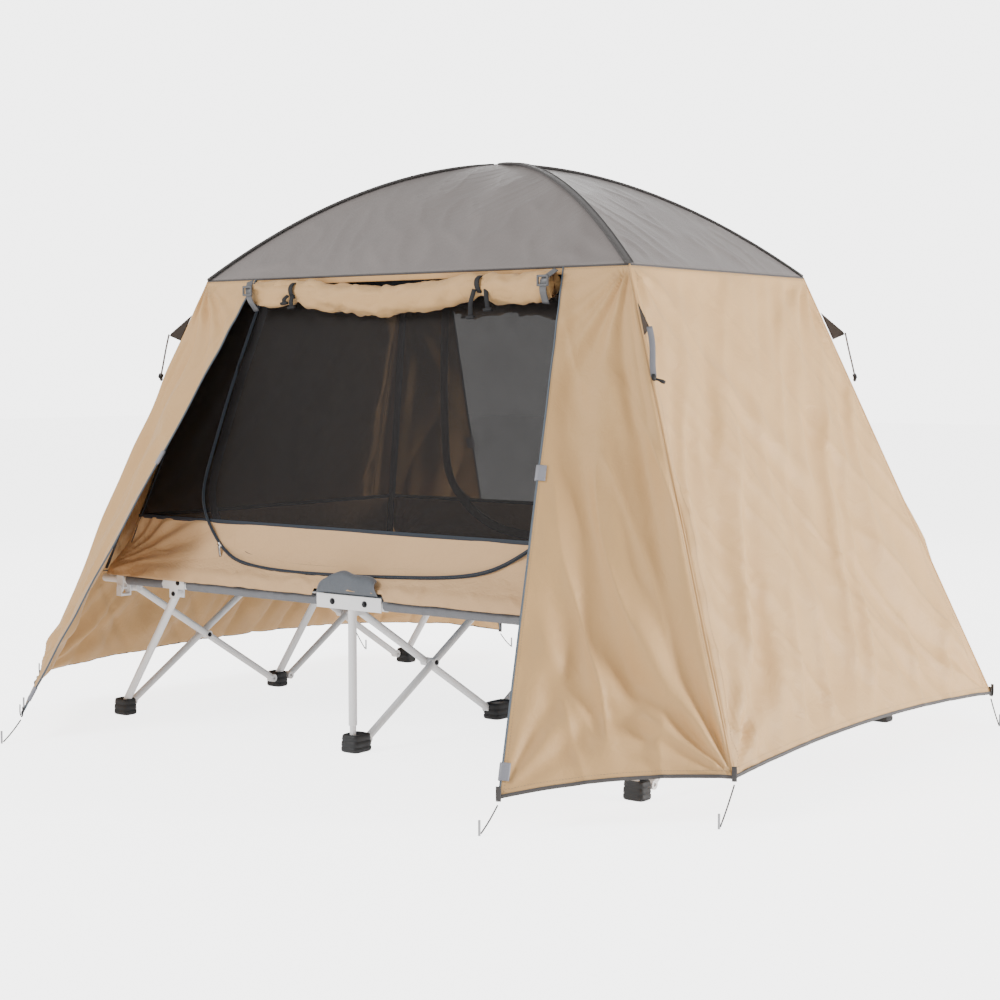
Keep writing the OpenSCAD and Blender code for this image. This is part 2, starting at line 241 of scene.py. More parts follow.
plain_weave = weave_group()
fine_speckle = speckle_group()
print("groups:", plain_weave.name, fine_speckle.name)

# %% [markdown]
# Tent cloth is a thin coated polyester. It has a tight weave that only shows close up, soft
# crumples a few centimetres across, and a slight sheen. The colour drifts a little between dyed
# batches, so a broad noise mixes two close tints. All of it reads the UV map, which is in metres.

# %% Cloth finish
def blend_colours(tree, factor, low, high):
    ramp = tree.nodes.new("ShaderNodeMix")
    ramp.data_type = "RGBA"
    ramp.inputs["A"].default_value = (*low, 1.0)
    ramp.inputs["B"].default_value = (*high, 1.0)
    tree.links.new(factor, ramp.inputs["Factor"])
    return ramp.outputs["Result"]


def cloth_finish(name, low, high, threads=900.0, crumple=18.0, crumple_bump=0.25,
                 rough=0.62, sheen=0.12, weave_bump=0.15, coord="UV"):
    material = bpy.data.materials.new(name)
    material.use_nodes = True
    tree = material.node_tree
    shader = tree.nodes["Principled BSDF"]
    shader.inputs["Roughness"].default_value = rough
    shader.inputs["Sheen Weight"].default_value = sheen
    shader.inputs["Specular IOR Level"].default_value = 0.35
    where = tree.nodes.new("ShaderNodeTexCoord")
    weave = tree.nodes.new("ShaderNodeGroup")
    weave.node_tree = plain_weave
    weave.inputs["Threads per metre"].default_value = threads
    weave.inputs["Crumple size"].default_value = crumple
    tree.links.new(where.outputs[coord], weave.inputs["Vector"])
    tree.links.new(blend_colours(tree, weave.outputs["Mottle"], low, high),
                   shader.inputs["Base Color"])
    soft = tree.nodes.new("ShaderNodeBump")
    soft.inputs["Strength"].default_value = crumple_bump
    soft.inputs["Distance"].default_value = 0.01
    fine = tree.nodes.new("ShaderNodeBump")
    fine.inputs["Strength"].default_value = weave_bump
    fine.inputs["Distance"].default_value = 0.0006
    tree.links.new(weave.outputs["Crumple height"], soft.inputs["Height"])
    tree.links.new(weave.outputs["Weave height"], fine.inputs["Height"])
    tree.links.new(soft.outputs["Normal"], fine.inputs["Normal"])
    tree.links.new(fine.outputs["Normal"], shader.inputs["Normal"])
    return material


tan_cloth = cloth_finish("tan_polyester", (0.55, 0.325, 0.133), (0.61, 0.37, 0.160), rough=0.5,
                         crumple_bump=0.35)
grey_cloth = cloth_finish("grey_polyester", (0.185, 0.163, 0.155), (0.215, 0.19, 0.18), rough=0.5,
                          crumple_bump=0.35)
skirt_cloth = cloth_finish("floor_tan", (0.59, 0.365, 0.18), (0.65, 0.41, 0.21),
                           crumple=26.0, crumple_bump=0.45)
blue_cloth = cloth_finish("blue_grey_canvas", (0.085, 0.105, 0.125), (0.115, 0.14, 0.165),
                          threads=500.0, rough=0.75, crumple_bump=0.35)
tape_cloth = cloth_finish("grey_binding", (0.055, 0.050, 0.048), (0.075, 0.068, 0.065),
                          threads=700.0, coord="Object", crumple_bump=0.1)
dark_cloth = cloth_finish("black_webbing", (0.008, 0.008, 0.009), (0.014, 0.014, 0.016), sheen=0.02,
                          threads=600.0, coord="Object", crumple_bump=0.1)
# Painted shade: the fins are tan fly cloth, and this dark brown stands in for their shaded side.
fin_painted_shade_cloth = cloth_finish("fin_painted_shade", (0.030, 0.021, 0.015), (0.045, 0.032, 0.024), threads=500.0)
reflect_cloth = cloth_finish("grey_tab", (0.215, 0.215, 0.245), (0.265, 0.265, 0.295),
                             threads=600.0, coord="Object", rough=0.35, crumple_bump=0.1)
strap_cloth = cloth_finish("guy_webbing", (0.115, 0.115, 0.130), (0.155, 0.155, 0.170),
                           threads=600.0, coord="Object", crumple_bump=0.1)
zip_cloth = cloth_finish("zip_tape", (0.018, 0.024, 0.034), (0.028, 0.036, 0.048),
                         threads=700.0, sheen=0.03, coord="Object", crumple_bump=0.05)
sleeve_cloth = cloth_finish("sleeve_canvas", (0.135, 0.138, 0.150), (0.175, 0.178, 0.19),
                            threads=500.0, rough=0.7, crumple=40.0, crumple_bump=0.35)
flap_cloth_blue = cloth_finish("hub_canvas", (0.095, 0.105, 0.12), (0.125, 0.135, 0.15),
                               threads=500.0, rough=0.7, crumple=30.0, crumple_bump=0.5)
thread = cloth_finish("sewing_thread", (0.20, 0.17, 0.13), (0.25, 0.21, 0.17), threads=1500.0,
                      coord="Object", crumple_bump=0.0)
print("cloths:", [m.name for m in bpy.data.materials])

# %% [markdown]
# The frame is drawn aluminium tube with a clear satin skin. Handling leaves it slightly cloudy,
# so a speckle moves its roughness. The boots on the feet are moulded rubber.

# %% Frame finishes
def hard_finish(name, low, high, metal, rough_low, rough_high, bump, scale=400.0):
    material = bpy.data.materials.new(name)
    material.use_nodes = True
    tree = material.node_tree
    shader = tree.nodes["Principled BSDF"]
    shader.inputs["Metallic"].default_value = metal
    where = tree.nodes.new("ShaderNodeTexCoord")
    speckle = tree.nodes.new("ShaderNodeGroup")
    speckle.node_tree = fine_speckle
    speckle.inputs["Scale"].default_value = scale
    tree.links.new(where.outputs["Object"], speckle.inputs["Vector"])
    tree.links.new(blend_colours(tree, speckle.outputs["Mask"], low, high),
                   shader.inputs["Base Color"])
    spread = tree.nodes.new("ShaderNodeMapRange")
    spread.inputs["From Min"].default_value = 0.3
    spread.inputs["From Max"].default_value = 0.7
    spread.inputs["To Min"].default_value = rough_low
    spread.inputs["To Max"].default_value = rough_high
    tree.links.new(speckle.outputs["Mask"], spread.inputs["Value"])
    tree.links.new(spread.outputs["Result"], shader.inputs["Roughness"])
    raised = tree.nodes.new("ShaderNodeBump")
    raised.inputs["Strength"].default_value = bump
    raised.inputs["Distance"].default_value = 0.0008
    tree.links.new(speckle.outputs["Height"], raised.inputs["Height"])
    tree.links.new(raised.outputs["Normal"], shader.inputs["Normal"])
    return material


tube_metal = hard_finish("satin_tube", (0.82, 0.81, 0.81), (0.90, 0.89, 0.89),
                         0.05, 0.26, 0.42, 0.08)
boot_rubber = hard_finish("boot_rubber", (0.012, 0.012, 0.013), (0.022, 0.022, 0.023),
                          0.0, 0.45, 0.65, 0.5, 900.0)
bolt_metal = hard_finish("dark_bolt", (0.02, 0.02, 0.022), (0.05, 0.05, 0.055),
                         0.7, 0.3, 0.45, 0.1)
pole_finish = hard_finish("pole_fibre", (0.03, 0.03, 0.032), (0.05, 0.05, 0.052),
                          0.0, 0.3, 0.5, 0.2)
peg_metal = hard_finish("peg_steel", (0.35, 0.35, 0.36), (0.5, 0.5, 0.51), 0.9, 0.25, 0.4, 0.1)
plastic_grey = hard_finish("grey_plastic", (0.10, 0.10, 0.105), (0.13, 0.13, 0.135),
                           0.0, 0.35, 0.5, 0.2)
zip_shine = hard_finish("zip_coil", (0.07, 0.085, 0.105), (0.10, 0.12, 0.14), 0.0, 0.25, 0.4, 0.1)
rope_yarn = hard_finish("rope_yarn", (0.06, 0.057, 0.055), (0.11, 0.105, 0.10),
                        0.0, 0.8, 0.95, 0.9, 700.0)
FINISH = {"frame_steel": tube_metal, "pole_black": pole_finish, "peg_steel": peg_metal}
for node_name, node in frame["nodes"].items():
    slot_name = next(s["material_slot"] for s in frame["record"]["subparts"]
                     if s["node"] == node_name)
    if slot_name in FINISH:
        node.data.materials.clear()
        node.data.materials.append(FINISH[slot_name])
print("finished nodes:", sum(1 for n in frame["nodes"].values() if n.data.materials))

# %% [markdown]
# Insect mesh is mostly holes. Drawing every thread would need millions of faces, so the finish
# makes the holes: two sets of fine waves cross, and the cloth is clear between the threads.

# %% Mesh finish
THREAD_SHARE, THREAD_SWING, CLOUD_SWING = 0.635, 0.16, 0.12


def mesh_finish():
    material = bpy.data.materials.new("insect_mesh")
    material.use_nodes = True
    tree = material.node_tree
    shader = tree.nodes["Principled BSDF"]
    shader.inputs["Roughness"].default_value = 0.8
    where = tree.nodes.new("ShaderNodeTexCoord")
    weave = tree.nodes.new("ShaderNodeGroup")
    weave.node_tree = plain_weave
    weave.inputs["Threads per metre"].default_value = 420.0
    weave.inputs["Crumple size"].default_value = 7.0
    tree.links.new(where.outputs["UV"], weave.inputs["Vector"])
    tree.links.new(blend_colours(tree, weave.outputs["Mottle"], (0.0060, 0.0038, 0.0032),
                                 (0.0085, 0.0056, 0.0048)), shader.inputs["Base Color"])
    holes = math_node(tree, "MULTIPLY", weave.outputs["Weave height"], THREAD_SWING)
    drift = math_node(tree, "MULTIPLY", weave.outputs["Crumple height"], CLOUD_SWING)
    cover = math_node(tree, "ADD", math_node(tree, "ADD", holes, drift), THREAD_SHARE)
    tree.links.new(cover, shader.inputs["Alpha"])
    return material


insect_mesh = mesh_finish()
print("mesh finish", insect_mesh.name)

# %% [markdown]
# Many sizes of the cloth come from the solids that hold its place, so the cloth fits the
# frame. The roof's box gives the rim and the peak, the wall boxes give the heights of the hems
# and the reach of the flaps, and the other hem and doorway corners are given numbers.

# %% Tent sizes
roof_low, roof_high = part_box("roof")
wall_low, flap_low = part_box("end_wall_right")[0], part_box("flap_front_right")[0]
skirt_low, skirt_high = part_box("inner_skirt")
mesh_low, mesh_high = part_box("inner_mesh")
RIM_X, RIM_Y, RIM_Z, PEAK_Z = roof_high[0], roof_high[1], roof_low[2], roof_high[2]
HEM_X, HEM_Y, HEM_Z = 1.270, 0.735, wall_low[2]
DOOR_X, FLAP_X, FLAP_Y, FLAP_Z = 0.571, 0.870, -flap_low[1], flap_low[2]
print("rim", round(RIM_X, 3), round(RIM_Y, 3), round(RIM_Z, 3), "peak", round(PEAK_Z, 3))

# %% [markdown]
# The ropes come first. Each hem corner is tied down to its peg by a short taut cord, and its
# place is the same as in the engineering model.

# %% Ground ropes
ROPE_D, PEG_OUT, ROPE_SAG = 0.004, 0.062, 0.003
HEM_TIES = ((HEM_X, HEM_Y, 0.100), (FLAP_X, 1.125, 0.066))
hem_corners = [(s * x, r * y, z) for s in (-1, 1) for r in (-1, 1) for x, y, z in HEM_TIES]
for number, (x, y, z) in enumerate(hem_corners):
    top = np.array((x, y, z - 0.008))
    foot = np.array((x, y + math.copysign(PEG_OUT, y), ROPE_D))
    along = np.linspace(0, 1, 17)[:, None]
    line = top * (1 - along) + foot * along
    line[:, 2] -= ROPE_SAG * np.sin(math.pi * along[:, 0])
    rope = swept_bar(f"ground_rope_{number}", line, ROPE_D / 2, 8)
    rope.data.materials.append(rope_yarn)
    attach(rope, "tent")
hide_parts("ground_ropes")

# %% [markdown]
# Real tent cloth is never flat. It pulls straight between its pegs, pinches where it is pulled
# hard, and drapes in long soft folds elsewhere. One function adds these to a flat grid: pulls
# fan out from a point, folds run along a line, and a stretched noise adds small creases.

# %% Wrinkle maker
def flat_grid(top_left, top_right, low_left, low_right, cols, rows):
    u = np.linspace(0, 1, cols)[None, :, None]
    v = np.linspace(0, 1, rows)[:, None, None]
    corners = [np.array(p, float) for p in (top_left, top_right, low_left, low_right)]
    return ((corners[0] * (1 - u) + corners[1] * u) * (1 - v)
            + (corners[2] * (1 - u) + corners[3] * u) * v)


def grid_normals(grid):
    across, down = np.gradient(grid, axis=1), np.gradient(grid, axis=0)
    normal = np.cross(down, across)
    return normal / (np.linalg.norm(normal, axis=2)[:, :, None] + 1e-12)


def soft_step(x):
    x = np.clip(x, 0, 1)
    return x * x * (3 - 2 * x)


def noise_field(grid, along, stretch, size, seed):
    """Noise drawn out along a direction, as creases are."""
    along = np.array(along, float) / np.linalg.norm(along)
    flat = grid.reshape(-1, 3)
    part = (flat @ along)[:, None] * along
    scaled = (flat - part) / size + part / (size * stretch) + seed * 7.31
    values = [noise.noise(Vector(p)) for p in scaled]
    return np.array(values).reshape(grid.shape[:2])


def pull_from(grid, point, toward, depth, reach, pleats, seed, spread=1.2):
    """Creases that fan out from a pulled point toward another one."""
    point, toward = np.array(point, float), np.array(toward, float)
    main = (toward - point) / np.linalg.norm(toward - point)
    off = grid - point
    r = np.linalg.norm(off, axis=2) + 1e-9
    ahead = off @ main
    normal = grid_normals(grid).mean(axis=(0, 1))
    sideways = off @ np.cross(main, normal / np.linalg.norm(normal))
    angle = np.arctan2(sideways, ahead)
    wave = np.sin(pleats * angle + seed + 1.3 * np.sin(2.1 * angle + seed * 2))
    fade = np.exp(-r / reach) * soft_step(r / 0.05) * np.exp(-(angle / spread) ** 2)
    return depth * wave * fade


def fold_along(grid, start, end, depth, width):
    """One soft fold on the line from start to end."""
    start, end = np.array(start, float), np.array(end, float)
    length = np.linalg.norm(end - start)
    main = (end - start) / length
    off = grid - start
    t = (off @ main) / length
    away = np.linalg.norm(off - (off @ main)[:, :, None] * main, axis=2)
    inside = soft_step(t / 0.25) * soft_step((1 - t) / 0.25)
    return depth * inside * (np.exp(-(away / width) ** 2)
                             - 0.45 * np.exp(-((away - 1.9 * width) / width) ** 2))


def creases(grid, along, stretch, size, seed):
    """Thin sharp ridges between broad hollows, as stiff cloth makes."""
    ridge = 1 - np.minimum(1, 2.6 * np.abs(noise_field(grid, along, stretch, size, seed)))
    return ridge ** 2 - 0.25


def edge_mask(shape, left=0.03, right=0.03, top=0.03, low=0.03):
    v, u = np.meshgrid(np.linspace(0, 1, shape[0]), np.linspace(0, 1, shape[1]), indexing="ij")
    mask = np.ones(shape[:2])
    for value, width in ((u, left), (1 - u, right), (v, top), (1 - v, low)):
        if width:
            mask *= soft_step(value / width)
    return mask, u, v


print("wrinkle maker ready")

# %% [markdown]
# The fly has six wall panels. The two end walls hang between the corner poles, and each of the
# four flaps is pegged out to the front or the back beside a doorway. The hems hang in a slight
# curve between their pegs, because the cloth is only pulled at its corners.

# %% Fly walls
def hang_hem(grid, rise, inward):
    """Lift the middle of the lower edge, as a hem that is held only at its corners."""
    rows, cols = grid.shape[:2]
    u = np.linspace(0, 1, cols)[None, :]
    v = np.linspace(0, 1, rows)[:, None]
    bow = (4 * u * (1 - u)) * v ** 3
    grid = grid.copy()
    grid[:, :, 2] += rise * bow
    grid[:, :, :2] += inward * bow[:, :, None]
    return grid


def end_wall_cloth(s):
    side = 1 if s > 0 else -1
    a, b = (side * RIM_X, -RIM_Y, RIM_Z), (side * RIM_X, RIM_Y, RIM_Z)
    c, d = (side * HEM_X, -HEM_Y, HEM_Z), (side * HEM_X, HEM_Y, HEM_Z)
    grid = flat_grid(a, b, c, d, 110, 120)
    grid = hang_hem(grid, 0.028, np.array((-side * 0.012, 0.0)))
    mask, u, v = edge_mask(grid.shape, low=0.0)
    mask = mask * (0.35 + 0.65 * soft_step((1 - v) / 0.10))
    lift = pull_from(grid, c, a, 0.020, 0.45, 15, 0.4)
    lift += pull_from(grid, d, b, 0.020, 0.45, 15, 1.9)
    lift += pull_from(grid, a, c, 0.011, 0.34, 12, 2.6)
    lift += pull_from(grid, b, d, 0.014, 0.38, 13, 0.9)
    lift += fold_along(grid, (side * 0.86, -0.10, 1.20), (side * 1.22, -0.55, 0.25), 0.010, 0.040)
    lift += fold_along(grid, (side * 0.82, 0.22, 1.28), (side * 1.24, 0.50, 0.20), 0.012, 0.050)
    lift += fold_along(grid, (side * 0.92, 0.34, 1.00), (side * 1.15, 0.10, 0.45), 0.009, 0.035)
    lift += fold_along(grid, (side * 0.86, -0.30, 1.15), (side * 1.05, 0.20, 0.70), 0.008, 0.035)
    lift += 0.014 * noise_field(grid, (side * 0.42, 0.25, -1), 5.0, 0.17, 1.0 + side)
    lift += 0.005 * noise_field(grid, (side * 0.42, -0.5, -1), 6.0, 0.05, 4.0 + side)
    lift += 0.015 * creases(grid, (side * 0.42, -0.5, -1), 9.0, 0.12, 6.0 + side) * (0.3 + v)
    lift += 0.010 * creases(grid, (side * 0.42, 0.8, -1), 9.0, 0.09, 11.0 + side) * (0.2 + v)
    lift -= 0.022 * np.sin(math.pi * u) * np.sin(math.pi * v)
    normal = grid_normals(grid)
    if normal[..., 0].mean() * side < 0:
        normal = -normal
    return grid + normal * (lift * mask)[:, :, None], side


def flap_cloth(s, r):
    a, b = (s * DOOR_X, r * RIM_Y, RIM_Z), (s * RIM_X, r * RIM_Y, RIM_Z)
    c, d = (s * FLAP_X, r * FLAP_Y, FLAP_Z), (s * HEM_X, r * HEM_Y, HEM_Z)
    grid = flat_grid(a, b, c, d, 100, 150)
    grid = hang_hem(grid, 0.016, np.array((-s * 0.006, -r * 0.010)))
    mask, u, v = edge_mask(grid.shape, left=0.0, low=0.0, right=0.04)
    mask = mask * (0.35 + 0.65 * soft_step((1 - v) / 0.10)) * (0.4 + 0.6 * soft_step(u / 0.2))
    fade = soft_step(u / 0.06)
    lift = pull_from(grid, c, b, 0.015, 0.36, 14, 0.3) * fade
    lift += pull_from(grid, d, b, 0.021, 0.48, 17, 1.2)
    lift += pull_from(grid, b, d, 0.013, 0.44, 15, 2.2)
    low_mid = (s * 1.10, r * 0.90, 0.16)
    lift += fold_along(grid, (s * 0.79, r * 0.50, 1.16), (s * 1.06, r * 0.68, 0.46), -0.016, 0.022)
    lift += fold_along(grid, (s * 0.75, r * 0.52, 1.14), (s * 1.02, r * 0.86, 0.34), 0.012, 0.040)
    lift += fold_along(grid, (s * 0.72, r * 0.60, 0.98), (s * 1.15, r * 0.80, 0.22), 0.010, 0.038)
    lift += fold_along(grid, (s * 0.80, r * 0.80, 0.62), low_mid, 0.010, 0.034)
    calm = 0.15 + 0.85 * soft_step(u / 0.25)
    lift += calm * 0.014 * noise_field(grid, (0.35 * s, 0.35 * r, -1), 5.0, 0.13, 2.0 + s + 0.5 * r)
    lift += calm * 0.005 * noise_field(grid, (0.5 * s, 0, -1), 6.0, 0.05, 8.0 + s + 0.5 * r)
    lift += calm * 0.012 * (0.3 + v) * creases(grid, (0.45 * s, 0.1 * r, -1), 9.0, 0.10,
                                               5.0 + s + 0.5 * r)
    lift -= 0.012 * np.sin(math.pi * u) * np.sin(math.pi * v)
    normal = grid_normals(grid)
    if normal[..., 1].mean() * r < 0:
        normal = -normal
    lift = lift * mask
    near_pole = soft_step((u - 0.70) / 0.16) * soft_step((0.42 - v) / 0.14)
    lift = lift * (1 - near_pole) + np.maximum(lift, -0.001) * near_pole
    return grid + normal * lift[:, :, None], (1 if s * r < 0 else -1)


def thicken(piece, amount):
    solid = piece.modifiers.new("thickness", "SOLIDIFY")
    solid.thickness = amount
    solid.offset = 0.0
    return piece


def tent_sheet(name, grid, flip, finish, node_name, thickness=0.0012):
    piece = cloth_from_grid(name, grid, flip)
    piece.data.materials.append(finish)
    thicken(piece, thickness)
    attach(piece, "tent")
    if node_name:
        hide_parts(node_name)
    return piece


fly_grids = {}
for s, end in ((-1, "left"), (1, "right")):
    grid, side = end_wall_cloth(s)
    fly_grids["end_wall_" + end] = grid
    tent_sheet("end_wall_cloth_" + end, grid, side < 0, tan_cloth,
               "end_wall_" + end)
    for r, face in ((-1, "front"), (1, "back")):
        grid, side = flap_cloth(s, r)
        fly_grids[f"flap_{face}_{end}"] = grid
        tent_sheet(f"flap_cloth_{face}_{end}", grid, side < 0, tan_cloth,
                   f"flap_{face}_{end}")
print("fly walls:", len(fly_grids))

# %% [markdown]
# The roof is four curved panels that meet on the two crossed poles. Every level of it is a
# rectangle that shrinks toward the peak while the poles bend it down, so a ruled grid follows the
# real cut. The panels sag a little between the poles.

# %% Roof
POLE_BEND, ROOF_SAG = 1.9, 0.012


def ridge_height(t):
    return PEAK_Z - (PEAK_Z - RIM_Z) * t ** POLE_BEND


def roof_panel(p, q):
    """The panel between the rim corners p and q, given as signs."""
    cols, rows = 90, 70
    t = np.linspace(0.0, 1, rows)[:, None]
    t = np.maximum(t, 0.004)
    u = np.linspace(0, 1, cols)[None, :]
    x = RIM_X * t * (p[0] * (1 - u) + q[0] * u)
    y = RIM_Y * t * (p[1] * (1 - u) + q[1] * u)
    sag = ROOF_SAG * np.sin(math.pi * u) * np.sin(math.pi * np.clip(t, 0, 1)) ** 0.8
    z = ridge_height(t) - sag + 0 * u
    grid = np.stack([x + 0 * z, y + 0 * z, z], axis=2)
    mask = soft_step(u / 0.08) * soft_step((1 - u) / 0.08) * soft_step((1 - t) / 0.06)
    lift = 0.007 * noise_field(grid, (p[0] + q[0], p[1] + q[1], -0.4), 3.0, 0.14, 3.0)
    lift += 0.006 * creases(grid, (p[0] + q[0] + 0.3, p[1] + q[1], -0.4), 5.0, 0.08, 7.0) * t
    lift += pull_from(grid, grid[-1, 0], grid[0, 0], 0.004, 0.22, 11, 0.7, 0.9)
    lift += pull_from(grid, grid[-1, -1], grid[0, 0], 0.004, 0.22, 11, 2.1, 0.9)
    normal = grid_normals(grid)
    if normal[..., 2].mean() < 0:
        normal = -normal
    return grid + normal * (lift * mask)[:, :, None]


SIDES = {"front": ((-1, -1), (1, -1)), "right": ((1, -1), (1, 1)),
         "back": ((1, 1), (-1, 1)), "left": ((-1, 1), (-1, -1))}
for face, (p, q) in SIDES.items():
    tent_sheet("roof_cloth_" + face, roof_panel(p, q), False, grey_cloth,
               "roof")
print("roof panels:", len(SIDES))

# %% [markdown]
# A sewn edge needs a narrow strip that lies flat on the cloth. This helper sweeps a thin rounded
# section along a path, and the wide side of it can be turned at every point.

# %% Strip builder
def swept_strip(name, path, across, width, thick):
    path, tangent, _, _ = path_frames(path)
    wide = np.array(np.broadcast_to(np.asarray(across, float), path.shape))
    wide -= (wide * tangent).sum(axis=1)[:, None] * tangent
    wide /= np.linalg.norm(wide, axis=1)[:, None] + 1e-12
    out = np.cross(tangent, wide)
    section = [(-0.5, -0.25), (-0.42, -0.5), (0.42, -0.5), (0.5, -0.25),
               (0.5, 0.25), (0.42, 0.5), (-0.42, 0.5), (-0.5, 0.25)]
    points = [p + width * a * w + thick * b * o
              for p, w, o in zip(path, wide, out) for a, b in section]
    faces = []
    for k in range(len(path) - 1):
        for i in range(8):
            a, b = k * 8 + i, k * 8 + (i + 1) % 8
            faces.append((a, b, b + 8, a + 8))
    faces.append(tuple(range(8))[::-1])
    faces.append(tuple(range((len(path) - 1) * 8, len(path) * 8)))
    return new_piece(name, points, faces)


def dressed(piece, finish, slot_name, body="tent", *nodes):
    piece.data.materials.append(finish)
    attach(piece, body)
    if nodes:
        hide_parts(*nodes)
    return piece


def outward(grid):
    normal = grid_normals(grid)
    middle = grid.mean(axis=(0, 1)) * (1, 1, 0)
    return normal if (normal.mean(axis=(0, 1)) @ middle) > 0 else -normal


print("strip builder ready")

# %% [markdown]
# The fly is bound at every raw edge. A grey tape covers the hems, a blue-grey piping follows the
# two sides of each doorway, and a felled seam joins the walls at the corners.

# %% Bindings and seams
HEM_TAPE, PIPING_R, RIM_R = (0.009, 0.0030), 0.0028, 0.0030
BAND_WIDE, BAND_THICK, BAND_EDGE, BAND_EDGE_R = 0.026, 0.005, 0.011, 0.0016
hem_parts, piping_parts, seam_parts = [], [], []
for key, grid in fly_grids.items():
    hem_parts.append(swept_strip("hem", grid[-1] + (0, 0, 0.004), (0, 0, 1), *HEM_TAPE))
    if key.startswith("flap"):
        piping_parts.append(swept_bar("edge", grid[:, 0], PIPING_R, 8))
        seam_parts.append(swept_bar("seam", grid[:-1, -1], PIPING_R, 8))
dressed(merged("hem_binding", hem_parts), tape_cloth, "fly_grey")
dressed(merged("door_piping", piping_parts), blue_cloth, "fly_grey")
dressed(merged("corner_seams", seam_parts), tan_cloth, "fly_tan")
rim_path = [(sx * RIM_X, sy * RIM_Y, RIM_Z - 0.001)
            for sx, sy in ((-1, -1), (1, -1), (1, 1), (-1, 1), (-1, -1))]
rim_path = np.concatenate([np.linspace(a, b, 30) for a, b in zip(rim_path, rim_path[1:])])
rim_parts = [swept_bar("rim", rim_path[k * 30:(k + 1) * 30], RIM_R, 8) for k in range(4)]
dressed(merged("rim_piping", rim_parts), tape_cloth, "fly_grey")
band_parts = []
for sx in (-1, 1):
    for sy in (-1, 1):
        t = np.linspace(0.0, 1.0, 60)
        line = np.stack([sx * RIM_X * t, sy * RIM_Y * t, ridge_height(t) + 0.0022], axis=1)
        turn = np.array((-sy * RIM_Y, sx * RIM_X, 0.0))
        band_parts.append(swept_strip("band", line, turn, BAND_WIDE, BAND_THICK))
        for edge in (-BAND_EDGE, BAND_EDGE):
            beside = line + edge * turn / np.linalg.norm(turn) + (0, 0, 0.003)
            band_parts.append(swept_bar("band_edge", beside[1:], BAND_EDGE_R, 6))
dressed(merged("ridge_bands", band_parts), tape_cloth, "fly_grey")
print("bindings on", len(fly_grids), "panels")

# %% [markdown]
# Each door is a cloth panel rolled up and tied under the roof's edge. A roll is a spiral, so the
# sheet is wound nine times around its middle. Two ties pinch it, the cloth swells between them,
# and its own weight makes it sag.

# %% Rolled doors
TIES = {"front": (-0.39, 0.31), "back": (-0.31, 0.39)}
DOOR_SAG, TURNS, PER_TURN, ROLL_ALLOWANCE = 0.030, 9, 22, 1.02


def rolled_door(name, r, node_name, ties, seed):
    low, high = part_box(node_name)
    centre_y, centre_z = (low[1] + high[1]) / 2, (low[2] + high[2]) / 2
    length, radius = high[0] - low[0], (high[2] - low[2]) / 2
    rows, last_turn = 120, PER_TURN + 1
    x = np.linspace(low[0], high[0], rows)
    pinch = sum(np.exp(-((x - tie) / 0.035) ** 2) for tie in ties)
    swell = 1.0 - 0.36 * pinch - 0.16 * np.exp(-((x - low[0]) / 0.05) ** 2) \
        - 0.16 * np.exp(-((high[0] - x) / 0.05) ** 2)
    between = [low[0], *ties, high[0]]
    sag = np.zeros(rows)
    for a, b in zip(between, between[1:]):
        inside = (x >= a) & (x <= b)
        bow = np.sin(math.pi * (x[inside] - a) / (b - a))
        sag[inside] = bow * DOOR_SAG * min(1, (b - a) / 0.7)
    angle = np.linspace(0, 2 * math.pi * TURNS, TURNS * PER_TURN + 1)
    reach = radius * (0.18 + 0.82 * angle / angle[-1])
    grid = np.empty((rows, len(angle), 3))
    for j in range(rows):
        ripple, fine = (np.array([noise.noise(Vector((x[j] * pace + seed, math.cos(a) * wide,
                                                      math.sin(a) * wide)))
                                  for a in angle[-last_turn:]])
                        for pace, wide in ((9, 1.2), (30, 3.0)))
        extra = np.zeros(len(angle))
        extra[-last_turn:] = 0.011 * ripple + 0.008 * fine
        rr = reach * swell[j] + extra
        grid[j, :, 0] = x[j]
        grid[j, :, 1] = centre_y - r * rr * 0.92 * np.cos(angle + 0.6)
        grid[j, :, 2] = centre_z + 0.002 - sag[j] + rr * 1.22 * np.sin(angle + 0.6)
    grid[:, :, 2] = np.minimum(grid[:, :, 2], RIM_Z - 0.006)
    piece = cloth_from_grid(name, grid, flip=(r < 0))
    dressed(piece, tan_cloth, "fly_tan", "tent", node_name)
    return swell, sag, x, (centre_y, centre_z, radius)


rolls = {"front": rolled_door("rolled_door_front", -1, "door_roll_front", TIES["front"], 1.0),
         "back": rolled_door("rolled_door_back", 1, "door_roll_back", TIES["back"], 5.0)}
for face, r in (("front", -1), ("back", 1)):
    header = flat_grid((-r * DOOR_X, r * RIM_Y, RIM_Z - 0.001),
                       (r * DOOR_X, r * RIM_Y, RIM_Z - 0.001),
                       (-r * DOOR_X, r * (RIM_Y - 0.002), RIM_Z - 0.020),
                       (r * DOOR_X, r * (RIM_Y - 0.002), RIM_Z - 0.020), 120, 8)
    wave = 0.003 * noise_field(header, (0, 0, 1), 4.0, 0.03, 2.0 + r)
    header[..., 1] += r * wave * np.linspace(0, 1, 8)[:, None]
    tent_sheet("door_header_" + face, header, False, tan_cloth, None)
print("rolled doors:", len(rolls))

# %% [markdown]
# Black webbing holds each roll. A loop goes round it at the pinch, its two tails hang down, and
# each tail ends in a small toggle. A grey strap with a buckle holds the ends of the roll.

# %% Door ties
TIE_TAILS = (((0.008, 0.035), (-0.012, 0.022)), ((-0.010, 0.075), (0.030, 0.055)))
STRAP_X = 0.548


